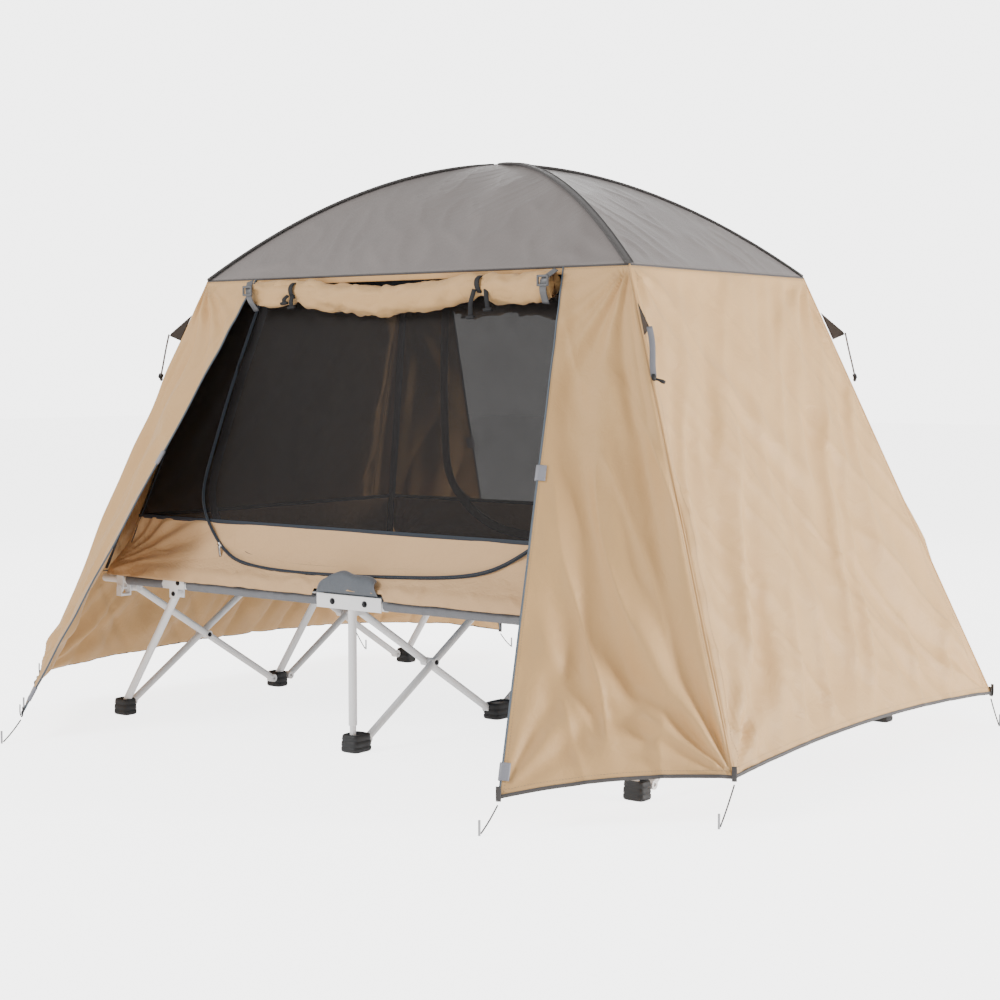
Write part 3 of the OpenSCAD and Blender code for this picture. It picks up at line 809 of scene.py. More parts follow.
def door_tie(centre, radius, x, r, tails):
    parts = []
    ring = np.linspace(0, 2 * math.pi, 25)
    loop = np.stack([x + 0.002 * np.sin(2 * ring), centre[0] + radius * np.cos(ring),
                     centre[1] + radius * np.sin(ring)], axis=1)
    parts.append(swept_strip("loop", loop, (1, 0, 0), 0.016, 0.003))
    for dx, drop in tails:
        start = np.array((x + dx, centre[0] + r * radius * 0.9, centre[1] - radius * 0.5))
        path = smooth_path([start, start + (dx * 0.4, r * 0.012, -drop * 0.5),
                            start + (dx * 0.5, r * 0.010, -drop)], 14)
        parts.append(swept_strip("tail", path, (1, 0.3, 0), 0.013, 0.0025))
        bar = np.linspace(path[-1] - (0.014, 0, 0.002), path[-1] + (0.014, 0, 0), 9)
        thick = 0.0040 + 0.0015 * np.sin(np.linspace(0, math.pi, 9))
        parts.append(swept_bar("toggle", bar, thick, 8))
    return parts


for face, r in (("front", -1), ("back", 1)):
    swell, sag, x_line, (cy, cz, radius) = rolls[face]
    webbing = []
    for tie, tails in zip(TIES[face], TIE_TAILS):
        near = int(np.argmin(abs(x_line - tie)))
        webbing += door_tie((cy, cz + 0.004 - sag[near]), radius * swell[near] + 0.003,
                            tie, r, tails)
    dressed(merged("door_ties_" + face, webbing), dark_cloth, "pole_black")
    straps = []
    for end in (-1, 1):
        x = end * STRAP_X
        path = smooth_path([(x + end * 0.020, cy + r * 0.012, RIM_Z - 0.008),
                            (x, cy + r * 0.042, cz + 0.012),
                            (x - end * 0.004, cy + r * 0.040, cz - 0.02),
                            (x - end * 0.010, cy + r * 0.016, cz - 0.052)], 18)
        straps.append(swept_strip("strap", path, (1, 0, 0), 0.022, 0.003))
        hold = path[7]
        for dz in (-0.012, 0.012):
            bar = np.linspace(hold + (-0.016, r * 0.004, dz), hold + (0.016, r * 0.004, dz), 7)
            straps.append(swept_bar("buckle", bar, 0.0036, 8))
        for dx in (-0.016, 0.016):
            bar = np.linspace(hold + (dx, r * 0.004, -0.014), hold + (dx, r * 0.004, 0.014), 7)
            straps.append(swept_bar("buckle", bar, 0.0036, 8))
    dressed(merged("door_straps_" + face, straps), plastic_grey, "fly_grey")
print("ties at", TIES["front"])

# %% [markdown]
# Inside hangs the inner tent, which keeps insects out. Its upper walls are dark mesh and its lower
# walls are tan cloth that stands on the bed. The walls lean inward like the fly, and the cloth
# at the bottom spreads over the rails and wrinkles where it is pulled.

# %% Inner tent sizes
BASE_X, BASE_Y, BASE_Z = skirt_high[0], skirt_high[1], skirt_low[2]
TOP_X, TOP_Y, TOP_Z, SEAM_Z = 0.746, 0.424, mesh_high[2], mesh_low[2] - 0.008


def inner_half(z):
    t = (z - BASE_Z) / (TOP_Z - BASE_Z)
    return BASE_X + (TOP_X - BASE_X) * t, BASE_Y + (TOP_Y - BASE_Y) * t


def inner_corner(sx, sy, z):
    hx, hy = inner_half(z)
    return np.array((sx * hx, sy * hy, z))


def flare_at(v):
    """How far the bottom of the tan wall has spread outward, from 0 to 1."""
    return soft_step((v - 0.45) / 0.55)


print("inner tent base", round(BASE_X, 3), round(BASE_Y, 3), "seam at", round(SEAM_Z, 3))

# %% Inner mesh walls
def mesh_wall(face, cols, rows, depth, seed):
    p, q = SIDES[face]
    grid = flat_grid(inner_corner(*p, TOP_Z), inner_corner(*q, TOP_Z),
                     inner_corner(*p, SEAM_Z), inner_corner(*q, SEAM_Z), cols, rows)
    mask = edge_mask(grid.shape, 0.04, 0.04, 0.08, 0.02)[0]
    lift = depth * noise_field(grid, (0.3, 0.2, 1.0), 2.5, 0.20, seed)
    return grid, lift, mask


for number, face in enumerate(SIDES):
    grid, lift, mask = mesh_wall(face, 80, 60, 0.006, number + 1.0)
    lift += pull_from(grid, grid[-1, 0], grid[0, -1], 0.006, 0.30, 12, 0.6)
    lift += fold_along(grid, grid[12, 12], grid[44, 4], 0.010, 0.016)
    lift += fold_along(grid, grid[20, 20], grid[50, 8], 0.008, 0.014)
    grid = grid + outward(grid) * (lift * mask)[:, :, None]
    piece = cloth_from_grid("mesh_wall_" + face, grid)
    dressed(piece, insect_mesh, "mesh_dark", "tent", "inner_mesh")
print("mesh walls:", len(SIDES))

# %% [markdown]
# The tan walls below the mesh are looser. They spread outward over the rails, gather along their
# lower edge, and pull in rays from the two ends, where the inner tent is tied to the frame.

# %% Inner lower walls
ZIP_FROM, STEADY = 0.62, -0.0005  # below this share of the wall, cloth never dips behind the zip
for number, face in enumerate(SIDES):
    p, q = SIDES[face]
    long_wall = face in ("front", "back")
    cols = 200 if long_wall else 110
    rows = 44
    grid = flat_grid(inner_corner(*p, SEAM_Z), inner_corner(*q, SEAM_Z),
                     inner_corner(*p, BASE_Z + 0.006), inner_corner(*q, BASE_Z + 0.006), cols, rows)
    mask, u, v = edge_mask(grid.shape, 0.015, 0.015, 0.06, 0.0)
    out = outward(grid)
    flare = flare_at(v)
    spread = np.zeros_like(grid)
    last = soft_step((v - 0.84) / 0.16)
    if long_wall:
        spread[..., 1] = np.sign(grid[..., 1]) * (0.036 * flare + 0.016 * last)
        spread[..., 2] = -0.020 * last ** 3 * (np.abs(grid[..., 0]) > 0.13)
    else:
        spread[..., 0] = np.sign(grid[..., 0]) * 0.018 * flare
    low = soft_step((v - 0.74) / 0.20)
    ends = np.abs(2 * u - 1) ** 3
    lift = 0.012 * low * noise_field(grid, (1.0, 0.3, 0.10), 5.0, 0.030, 3.0 + number)
    lift += 0.008 * low * creases(grid, (1.0, -0.2, -0.12), 7.0, 0.022, 9.0 + number)
    lift += 0.010 * ends * noise_field(grid, (0.8, 0.8, -0.5), 4.0, 0.05, 13.0 + number)
    lift += 0.003 * noise_field(grid, (1, 0, 0.2), 3.0, 0.12, 17.0 + number)
    if long_wall:
        near_end = soft_step((np.abs(2 * u - 1) - 0.40) / 0.20)
        for corner, aim in ((grid[-1, 0], grid[12, 60]), (grid[-1, -1], grid[12, -61])):
            lift += near_end * pull_from(grid, corner, aim, 0.013, 0.38, 24, 0.7 + number, 1.5)
    lift = np.where(v > ZIP_FROM, np.maximum(lift, STEADY), lift)
    rise = 0.004 * low * np.abs(noise_field(grid, (1, 1, 0), 3.0, 0.06, 21.0 + number))
    grid = grid + spread + out * (lift * mask)[:, :, None]
    grid[..., 2] += rise
    piece = cloth_from_grid("lower_wall_" + face, grid)
    dressed(piece, skirt_cloth, "skirt_tan", "tent", "inner_skirt")
    thicken(piece, 0.001)
print("lower walls:", len(SIDES))

# %% [markdown]
# A dark tape covers the corner seams of the inner tent and the line where the mesh meets the tan
# cloth. The tape is what the eye sees through the mesh, so it is a real strip and not a colour.

# %% Inner tapes
tape_parts = []
for sx in (-1, 1):
    for sy in (-1, 1):
        path = np.linspace(inner_corner(sx, sy, BASE_Z + 0.02), inner_corner(sx, sy, TOP_Z), 20)
        path -= np.array((sx, sy, 0)) * 0.006
        tape_parts.append(swept_strip("corner", path, (sx, -sy, 0), 0.024, 0.003))
for p, q in SIDES.values():
    path = np.linspace(inner_corner(*p, SEAM_Z), inner_corner(*q, SEAM_Z), 30)
    tape_parts.append(swept_strip("line", path, (0, 0, 1), 0.012, 0.003))
    path = np.linspace(inner_corner(*p, TOP_Z), inner_corner(*q, TOP_Z), 30)
    tape_parts.append(swept_strip("top", path, (0, 0, 1), 0.014, 0.003))
dressed(merged("inner_tapes", tape_parts), zip_cloth, "pole_black")
print("tapes:", len(tape_parts))

# %% [markdown]
# A door in each long wall of the inner tent opens with one curved zip. A zip is two tapes with a
# coil between them. The tape is a flat strip, and the coil's teeth repeat along the path, so a
# small Geometry Nodes tree sets them out at an even pitch.

# %% Repeating tree
def repeat_tree(name):
    tree = bpy.data.node_groups.new(name, "GeometryNodeTree")
    face = tree.interface
    face.new_socket(name="Geometry", in_out="INPUT", socket_type="NodeSocketGeometry")
    for label, value in (("Pitch", 0.006), ("Long", 0.004), ("Wide", 0.001), ("Tall", 0.001)):
        socket = face.new_socket(name=label, in_out="INPUT", socket_type="NodeSocketFloat")
        socket.default_value = value
    face.new_socket(name="Finish", in_out="INPUT", socket_type="NodeSocketMaterial")
    face.new_socket(name="Geometry", in_out="OUTPUT", socket_type="NodeSocketGeometry")
    add, link = tree.nodes.new, tree.links.new
    given, result = add("NodeGroupInput"), add("NodeGroupOutput")
    curve, even = add("GeometryNodeMeshToCurve"), add("GeometryNodeResampleCurve")
    even.mode = "LENGTH"
    bead, size = add("GeometryNodeMeshUVSphere"), add("ShaderNodeCombineXYZ")
    bead.inputs["Segments"].default_value = 6
    bead.inputs["Rings"].default_value = 3
    bead.inputs["Radius"].default_value = 0.5
    shape = add("GeometryNodeTransform")
    place, tangent = add("GeometryNodeInstanceOnPoints"), add("GeometryNodeInputTangent")
    turn = add("FunctionNodeAlignRotationToVector")
    turn.axis = "X"
    real, paint = add("GeometryNodeRealizeInstances"), add("GeometryNodeSetMaterial")
    link(given.outputs["Geometry"], curve.inputs["Mesh"])
    link(curve.outputs["Curve"], even.inputs["Curve"])
    link(given.outputs["Pitch"], even.inputs["Length"])
    for label, axis in (("Long", 0), ("Wide", 1), ("Tall", 2)):
        link(given.outputs[label], size.inputs[axis])
    link(bead.outputs["Mesh"], shape.inputs["Geometry"])
    link(size.outputs[0], shape.inputs["Scale"])
    link(even.outputs["Curve"], place.inputs["Points"])
    link(shape.outputs["Geometry"], place.inputs["Instance"])
    link(tangent.outputs["Tangent"], turn.inputs["Vector"])
    link(turn.outputs["Rotation"], place.inputs["Rotation"])
    link(place.outputs["Instances"], real.inputs["Geometry"])
    link(real.outputs["Geometry"], paint.inputs["Geometry"])
    link(given.outputs["Finish"], paint.inputs["Material"])
    link(paint.outputs["Geometry"], result.inputs[0])
    return tree


def grown(name, mesh, tree, values, finish):
    """Run a tree on a guide mesh and keep the result as a plain mesh."""
    guide = bpy.data.objects.new(name + "_guide", mesh)
    bpy.context.scene.collection.objects.link(guide)
    modifier = guide.modifiers.new("grow", "NODES")
    modifier.node_group = tree
    for item in tree.interface.items_tree:
        if item.in_out == "INPUT" and item.name in values:
            modifier[item.identifier] = values[item.name]
        if item.in_out == "INPUT" and item.name == "Finish":
            modifier[item.identifier] = finish
    depsgraph = bpy.context.evaluated_depsgraph_get()
    result = bpy.data.meshes.new_from_object(guide.evaluated_get(depsgraph))
    result.name = name
    bpy.data.objects.remove(guide)
    piece = bpy.data.objects.new(name, result)
    bpy.context.scene.collection.objects.link(piece)
    if not result.materials:
        result.materials.append(finish)
    return piece


def grown_on_lines(name, lines, tree, values, finish):
    points, edges = [], []
    for line in lines:
        start = len(points)
        points += [tuple(p) for p in line]
        edges += [(start + k, start + k + 1) for k in range(len(line) - 1)]
    mesh = bpy.data.meshes.new(name + "_guide")
    mesh.from_pydata(points, edges, [])
    return grown(name, mesh, tree, values, finish)


beads = repeat_tree("row_of_beads")
print("tree inputs:", [i.name for i in beads.interface.items_tree if i.in_out == "INPUT"])

# %% Curved zips
ZIP_PATH = [(-0.573, 1.274), (-0.606, 1.14), (-0.638, 1.002), (-0.668, 0.83), (-0.690, 0.70),
            (-0.672, 0.645), (-0.638, 0.605), (-0.580, 0.548), (-0.505, 0.506), (-0.38, 0.490),
            (-0.237, 0.486), (0.0, 0.490), (0.281, 0.503), (0.400, 0.516), (0.479, 0.537),
            (0.567, 0.590), (0.640, 0.640), (0.690, 0.70), (0.668, 0.83), (0.638, 1.002),
            (0.606, 1.14), (0.573, 1.274)]
ZIP_PROUD, TAPE_WIDE, TAPE_THICK, COIL_R = 0.006, 0.011, 0.0024, 0.0022


def on_long_wall(x, z, r, proud):
    """A point on the front or back wall of the inner tent, a little outside the cloth."""
    down = (SEAM_Z - z) / (SEAM_Z - BASE_Z)
    y = inner_half(z)[1] + 0.036 * float(flare_at(down))
    return (x, r * (y + proud), z)


for face, r in (("front", -1), ("back", 1)):
    path = smooth_path([on_long_wall(x * -r, z, r, ZIP_PROUD) for x, z in ZIP_PATH], 150)
    _, tangent, _, _ = path_frames(path)
    in_wall = np.cross(tangent, (0, r, 0.0))
    parts = [swept_strip("tape", path, in_wall, TAPE_WIDE, TAPE_THICK),
             swept_bar("coil", path + (0, r * 0.002, 0), COIL_R, 8)]
    dressed(merged("zip_" + face, parts), zip_cloth, "pole_black")
    inside = smooth_path([on_long_wall(x * 0.975, z + 0.006, r, -0.010) for x, z in ZIP_PATH], 90)
    _, tangent, _, _ = path_frames(inside)
    cover = swept_strip("zip_cover_" + face, inside, np.cross(tangent, (0, r, 0.0)),
                        0.032, TAPE_THICK)
    dressed(cover, zip_cloth, "pole_black")
    teeth = grown_on_lines("zip_teeth_" + face, [path + (0, r * 0.0036, 0)], beads,
                           {"Pitch": 0.004, "Long": 0.0022, "Wide": 0.0055, "Tall": 0.0022},
                           zip_shine)
    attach(teeth, "tent")
    at = path[44]
    pull = [swept_strip("slider", np.linspace(at + (-0.006, r * 0.005, 0.006),
                                              at + (0.006, r * 0.005, -0.006), 8),
                        (0.7, 0, 0.7), 0.010, 0.005),
            swept_strip("tag", smooth_path([at + (0, r * 0.008, 0), at + (0.004, r * 0.012, -0.014),
                                            at + (0.006, r * 0.009, -0.034)], 10),
                        (1, 0, 0), 0.008, 0.0022)]
    dressed(merged("zip_puller_" + face, pull), peg_metal, "peg_steel")
print("zip path points", len(path))

# %% [markdown]
# Stitches hold every hem. They are far too many to place by hand, so the same tree sets a small
# thread bead every few millimetres along lines that lie just inside the bound edges.

# %% Stitches on the fly
def beside_edge(grid, kind, step):
    out = outward(grid) * 0.0012
    lines = {"hem": (grid + out)[-1 - step], "top": (grid + out)[step],
             "left": (grid + out)[:, step], "right": (grid + out)[:, -1 - step]}
    return lines[kind]


stitch_lines = []
for key, grid in fly_grids.items():
    stitch_lines += [beside_edge(grid, "hem", 2), beside_edge(grid, "top", 1),
                     beside_edge(grid, "right", 2), beside_edge(grid, "left", 2)]
stitches = grown_on_lines("fly_stitches", stitch_lines, beads,
                          {"Pitch": 0.0075, "Long": 0.0045, "Wide": 0.0009, "Tall": 0.0009},
                          thread)
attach(stitches, "tent")
print("stitch faces", len(stitches.data.polygons))

# %% [markdown]
# The bed is one sheet of heavy woven cloth, sewn round the rails and pulled tight when the frame
# opens. It is split at the fold in the model, so each half turns with its own rails. When the cot
# closes, the real cloth crumples toward the middle; here each half keeps its flat shape.

# %% Bed
home = {n: b for b, nodes in frame["record"]["behaviour"]["bodies"].items() for n in nodes}
ROW_Y, RAIL_Z = 0.665, 0.420
ROWS = {"front": -ROW_Y, "middle": 0.0, "back": ROW_Y}
BED_THICK, BED_SAG, BED_GAP, FOLD_KEEP, FOLD_Z = 0.0024, 0.006, 0.0004, 0.344, 0.44


def bed_half(end, s):
    low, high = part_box("bed_" + end)
    inner, outer = s * BED_GAP, (low[0] if s < 0 else high[0])
    x = np.linspace(min(inner, outer), max(inner, outer), 90)
    y = np.linspace(low[1], high[1], 120)
    X, Y = np.meshgrid(x, y, indexing="xy")
    between = np.abs(np.sin(math.pi * Y / ROW_Y))
    Z = high[2] - 0.0018 - BED_SAG * between * soft_step((high[1] - np.abs(Y)) / 0.1)
    grid = np.stack([X, Y, Z], axis=2)
    Z += 0.0014 * noise_field(grid, (1, 0, 0), 4.0, 0.05, 2.0 + s) * between
    grid[..., 2] = Z
    piece = cloth_from_grid("bed_cloth_" + end, grid)
    dressed(piece, blue_cloth, "bed_fabric", home["bed_" + end], "bed_" + end)
    thicken(piece, BED_THICK)
    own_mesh(piece)


for end, s in (("left", -1), ("right", 1)):
    bed_half(end, s)
print("bed halves: 2")

# %% [markdown]
# Sleeves at the edge of the bed go round the rails. They leave the brackets bare, where the legs
# and the hub are bolted. Each sleeve is a tube of the same cloth with a few creases round it.

# %% Rail sleeves
SLEEVE_SPANS, SLEEVE_R, SLEEVE_ROUND = ((0.124, 0.658), (0.762, 0.926)), 0.0142, 0.094
SEAM_AT, SEAM_WIDTH, SEAM_HEIGHT = 4.4, 0.16, 0.0022


def sleeve(row, end, s):
    y0, z0 = ROWS[row], RAIL_Z
    grids, flat_length = [], 0.0
    for a, b in SLEEVE_SPANS:
        count = int((b - a) / 0.006)
        x = np.linspace(a, b, count)
        ring = np.linspace(0, 2 * math.pi, 33)
        grid = np.empty((count, 33, 3))
        for j, along in enumerate(x):
            crease = 0.0008 * math.sin(along * 90 + 3 * math.sin(along * 21)) \
                + 0.0010 * noise.noise(Vector((along * 30, s * 3.1, y0 * 9)))
            radius = SLEEVE_R + crease * (0.6 + 0.4 * np.cos(ring * 2))
            from_seam = np.mod(ring - SEAM_AT + math.pi, 2 * math.pi) - math.pi
            seam = SEAM_HEIGHT * np.exp(-(from_seam / SEAM_WIDTH) ** 2)
            grid[j, :, 0] = s * along
            grid[j, :, 1] = y0 + (radius + seam) * np.cos(ring)
            grid[j, :, 2] = z0 + (radius + seam) * np.sin(ring)
        grid[:, -1] = grid[:, 0]
        grids.append(grid)
        flat_length += b - a
    uvs = [np.stack([steps_along(g, 1), steps_along(g, 0)], axis=2).reshape(-1, 2) for g in grids]
    piece = merged(f"sleeve_{row}_{end}", [cloth_from_grid("part", g, flip=(s > 0)) for g in grids],
                   np.concatenate(uvs))
    dressed(piece, sleeve_cloth, "bed_fabric", home[f"rail_{row}_{end}"])


for row in ROWS:
    for end, s in (("left", -1), ("right", 1)):
        sleeve(row, end, s)
print("sleeves: 6")

# %% [markdown]
# A tongue of the bed cloth stands up over each outer hub and shields it. It is a short curved
# flap with a bound edge, a little crushed, and it belongs to the hub.

# %% Hub flaps
HUB_TOP, FLAP_TALL, FLAP_HALF = 0.4455, 0.060, 0.112


def hub_flap(row, r):
    y0 = ROWS[row]
    cols, rows = 46, 26
    u = np.linspace(-1, 1, cols)[None, :]
    v = np.linspace(0, 1, rows)[:, None]
    half = FLAP_HALF - 0.030 * v
    x = u * half + 0.012 * v * math.copysign(1, -r)
    height = FLAP_TALL * (1 - 0.42 * np.abs(u) ** 2.4) * (1 + 0.14 * np.sin(3.0 * u * -r - 2.2))
    z = HUB_TOP + height * np.sin(v * math.pi * 0.5) + 0 * u
    y = y0 + r * (0.0225 + 0.012 * np.sin(math.pi * v) - 0.016 * v
                  + 0.005 * np.sin(5 * u + 1.0) * v)
    grid = np.stack([x + 0 * z, y + 0 * z, z], axis=2)
    lift = 0.004 * noise_field(grid, (1, 0, 0.4), 2.0, 0.030, 2.0 + r)
    grid[..., 1] += r * lift * np.sin(math.pi * np.clip(v, 0, 1))
    piece = cloth_from_grid("hub_flap_" + row, grid, flip=(r > 0))
    dressed(piece, flap_cloth_blue, "bed_fabric", home["hub_" + row])
    thicken(piece, 0.0018)
    edge = np.concatenate([grid[:, 0], grid[-1, 1:-1], grid[::-1, -1]])
    bound = swept_bar("hub_flap_edge_" + row, edge, 0.0022, 8)
    dressed(bound, sleeve_cloth, "bed_fabric", home["hub_" + row])


hub_flap("front", -1)
hub_flap("back", 1)
print("hub flaps: 2")

# %% [markdown]
# Each foot is a moulded rubber boot that is pushed over the ends of the tubes. It is wider at its
# base, has two grooves round it, and its corners are well rounded, so it is lofted from rounded
# rectangles instead of being cut from a block.

# %% Rubber boots
BOOT = [(0.000, 0.86), (0.0015, 0.94), (0.005, 0.99), (0.013, 1.0), (0.0145, 0.955), (0.017, 0.955),
        (0.0185, 0.99), (0.030, 0.965), (0.0315, 0.92), (0.034, 0.92), (0.0355, 0.955),
        (0.045, 0.915), (0.0485, 0.88), (0.050, 0.80), (0.0492, 0.66), (0.046, 0.60)]
BOOT_SIDES, BOOT_TALL, CORNER_POWER = 48, 0.050, 2 / 4.5


def boot(node_name):
    low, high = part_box(node_name)
    centre = [(a + b) / 2 for a, b in zip(low, high)]
    half = [(b - a) / 2 for a, b in zip(low, high)]
    n = BOOT_SIDES
    ring = np.linspace(0, 2 * math.pi, n, endpoint=False)
    px, py = (np.sign(c) * np.abs(c) ** CORNER_POWER for c in (np.cos(ring), np.sin(ring)))
    points = []
    for z, scale in BOOT:
        for a, b in zip(px, py):
            points.append((centre[0] + half[0] * scale * a, centre[1] + half[1] * scale * b,
                           low[2] + z * (high[2] - low[2]) / BOOT_TALL))
    faces = []
    for k in range(len(BOOT) - 1):
        for i in range(n):
            a, b = k * n + i, k * n + (i + 1) % n
            faces.append((a, b, b + n, a + n))
    faces.append(tuple(range(n))[::-1])
    faces.append(tuple(range((len(BOOT) - 1) * n, len(BOOT) * n)))
    piece = new_piece("boot_" + node_name, points, faces)
    dressed(piece, boot_rubber, "foot_black", home[node_name], node_name)


feet = [n for n in frame["nodes"] if n.startswith("foot_")]
for node_name in feet:
    boot(node_name)
print("boots:", len(feet))

# %% [markdown]
# Dark bolts hold the frame together. Each has a washer and a six-sided head with a shallow dome.
# They repeat all over the frame, so one Geometry Nodes tree makes them at a list of points, once
# for every moving body.

# %% Bolt tree
def bolt_tree():
    tree = bpy.data.node_groups.new("bolt_heads", "GeometryNodeTree")
    face = tree.interface
    face.new_socket(name="Geometry", in_out="INPUT", socket_type="NodeSocketGeometry")
    for label, value in (("Radius", 0.0065), ("Height", 0.005)):
        socket = face.new_socket(name=label, in_out="INPUT", socket_type="NodeSocketFloat")
        socket.default_value = value
    face.new_socket(name="Finish", in_out="INPUT", socket_type="NodeSocketMaterial")
    face.new_socket(name="Geometry", in_out="OUTPUT", socket_type="NodeSocketGeometry")
    add, link = tree.nodes.new, tree.links.new
    given, result = add("NodeGroupInput"), add("NodeGroupOutput")
    join = add("GeometryNodeJoinGeometry")

    def scaled(label, factor):
        node = add("ShaderNodeMath")
        node.operation = "MULTIPLY"
        node.inputs[1].default_value = factor
        link(given.outputs[label], node.inputs[0])
        return node.outputs[0]

    washer, head, end = (18, 1.35, 0.5, 0.15), (6, 1.0, 1.0, 0.5), (12, 0.72, 0.4, 1.1)
    for sides, wide, tall, rise in (washer, head, end):
        part, lift = add("GeometryNodeMeshCylinder"), add("GeometryNodeTransform")
        up = add("ShaderNodeCombineXYZ")
        part.inputs["Vertices"].default_value = sides
        link(scaled("Radius", wide), part.inputs["Radius"])
        link(scaled("Height", tall), part.inputs["Depth"])
        link(scaled("Height", rise), up.inputs[2])
        link(part.outputs["Mesh"], lift.inputs["Geometry"])
        link(up.outputs[0], lift.inputs["Translation"])
        link(lift.outputs["Geometry"], join.inputs["Geometry"])
    place = add("GeometryNodeInstanceOnPoints")
    turn, way = add("FunctionNodeAlignRotationToVector"), add("GeometryNodeInputNamedAttribute")
    turn.axis = "Z"
    way.data_type = "FLOAT_VECTOR"
    way.inputs["Name"].default_value = "facing"
    real, paint = add("GeometryNodeRealizeInstances"), add("GeometryNodeSetMaterial")
    link(given.outputs["Geometry"], place.inputs["Points"])
    link(join.outputs["Geometry"], place.inputs["Instance"])
    link(way.outputs["Attribute"], turn.inputs["Vector"])
    link(turn.outputs["Rotation"], place.inputs["Rotation"])
    link(place.outputs["Instances"], real.inputs["Geometry"])
    link(real.outputs["Geometry"], paint.inputs["Geometry"])
    link(given.outputs["Finish"], paint.inputs["Material"])
    link(paint.outputs["Geometry"], result.inputs[0])
    return tree


bolts = bolt_tree()


def bolt_set(name, body, spots, radius=0.0065, height=0.0045):
    """Bolt heads at (point, direction) pairs, as one plain mesh on one body."""
    mesh = bpy.data.meshes.new(name + "_guide")
    mesh.from_pydata([p for p, _ in spots], [], [])
    facing = mesh.attributes.new("facing", "FLOAT_VECTOR", "POINT")
    facing.data.foreach_set("vector", [c for _, d in spots for c in d])
    piece = grown(name, mesh, bolts, {"Radius": radius, "Height": height}, bolt_metal)
    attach(piece, body)


print("bolt tree inputs:", [i.name for i in bolts.interface.items_tree if i.in_out == "INPUT"])

# %% Bolts on the frame
PLATE_OUT, BRACKET_OUT, PIVOT_Z, CROSS_Z = 0.016, 0.01525, 0.393, 0.213
BRACE_OUT, CROSS_Y, SMALL_BOLT = 0.0265, 0.3325, (0.0055, 0.004)
for row, y in ROWS.items():
    spots = [((x, y + f * PLATE_OUT, RAIL_Z), (0, f, 0)) for x in (-0.06, 0.06) for f in (-1, 1)]
    bolt_set("hub_bolts_" + row, home["hub_" + row], spots)
    for end, s in (("left", -1), ("right", 1)):
        spots = [((s * 0.71, y + f * BRACKET_OUT, PIVOT_Z), (0, f, 0)) for f in (-1, 1)]
        spots += [((s * 0.69, y + f * BRACKET_OUT, 0.4265), (0, f, 0)) for f in (-1, 1)]
        bolt_set(f"bracket_bolts_{row}_{end}", home[f"rail_{row}_{end}"], spots, *SMALL_BOLT)
for column, x in (("centre", 0.0), ("left", -0.95), ("right", 0.95)):
    for row, r in (("front", -1), ("back", 1)):
        spots = [((x + f * BRACE_OUT, r * CROSS_Y, CROSS_Z), (f, 0, 0)) for f in (-1, 1)]
        bolt_set(f"cross_bolts_{column}_{row}", home[f"brace_{column}_{row}_a"], spots,
                 *SMALL_BOLT)
print("bolts on rows and crossings")

# %% [markdown]
# Small hardware finishes the fly. Grey tabs fold over the doorway edges. A stiff fin of tan
# fly cloth at each upper corner takes a guy line, and a short webbing strap with a toggle hangs
# from it; the fin's dark brown colour is painted shade. Webbing loops at the hem hold the ground
# ropes.

# %% Tabs and fins
def edge_point(path, t):
    at = t * (len(path) - 1)
    k = min(int(at), len(path) - 2)
    return path[k] + (path[k + 1] - path[k]) * (at - k), path[k + 1] - path[k]


TAB_SPOTS, TAB_WIDE, LOOP_WIDE, WEB_THICK = (0.42, 0.955), 0.044, 0.012, 0.0022
tab_parts, loop_parts = [], []
for key, grid in fly_grids.items():
    if not key.startswith("flap"):
        continue
    normal = outward(grid).mean(axis=(0, 1))
    for t in TAB_SPOTS:
        point, along = edge_point(grid[:, 0], t)
        along = along / np.linalg.norm(along)
        side = grid[:, 1].mean(axis=0) - grid[:, 0].mean(axis=0)
        side -= (side @ along) * along
        side /= np.linalg.norm(side)
        fold = [point + side * 0.020 + normal * 0.004, point - side * 0.004 + normal * 0.005,
                point - side * 0.009, point - side * 0.004 - normal * 0.005,
                point + side * 0.018 - normal * 0.004]
        tab_parts.append(swept_strip("tab", smooth_path(fold, 14), along, TAB_WIDE, WEB_THICK))
    for column in (grid[:, 0], grid[:, -1]):
        low_end = column[-1]
        down = np.array((0, 0, -1.0))
        loop = smooth_path([low_end + (0, 0, 0.028) + normal * 0.005, low_end + normal * 0.006,
                            low_end + down * 0.010, low_end - normal * 0.004,
                            low_end + (0, 0, 0.024) - normal * 0.004], 14)
        loop_parts.append(swept_strip("loop", loop, np.cross(normal, (0, 0, 1)),
                                      LOOP_WIDE, WEB_THICK))
dressed(merged("door_tabs", tab_parts), reflect_cloth, "fly_grey")
dressed(merged("hem_loops", loop_parts), tape_cloth, "rope_grey")
print("tabs", len(tab_parts), "hem loops", len(loop_parts))

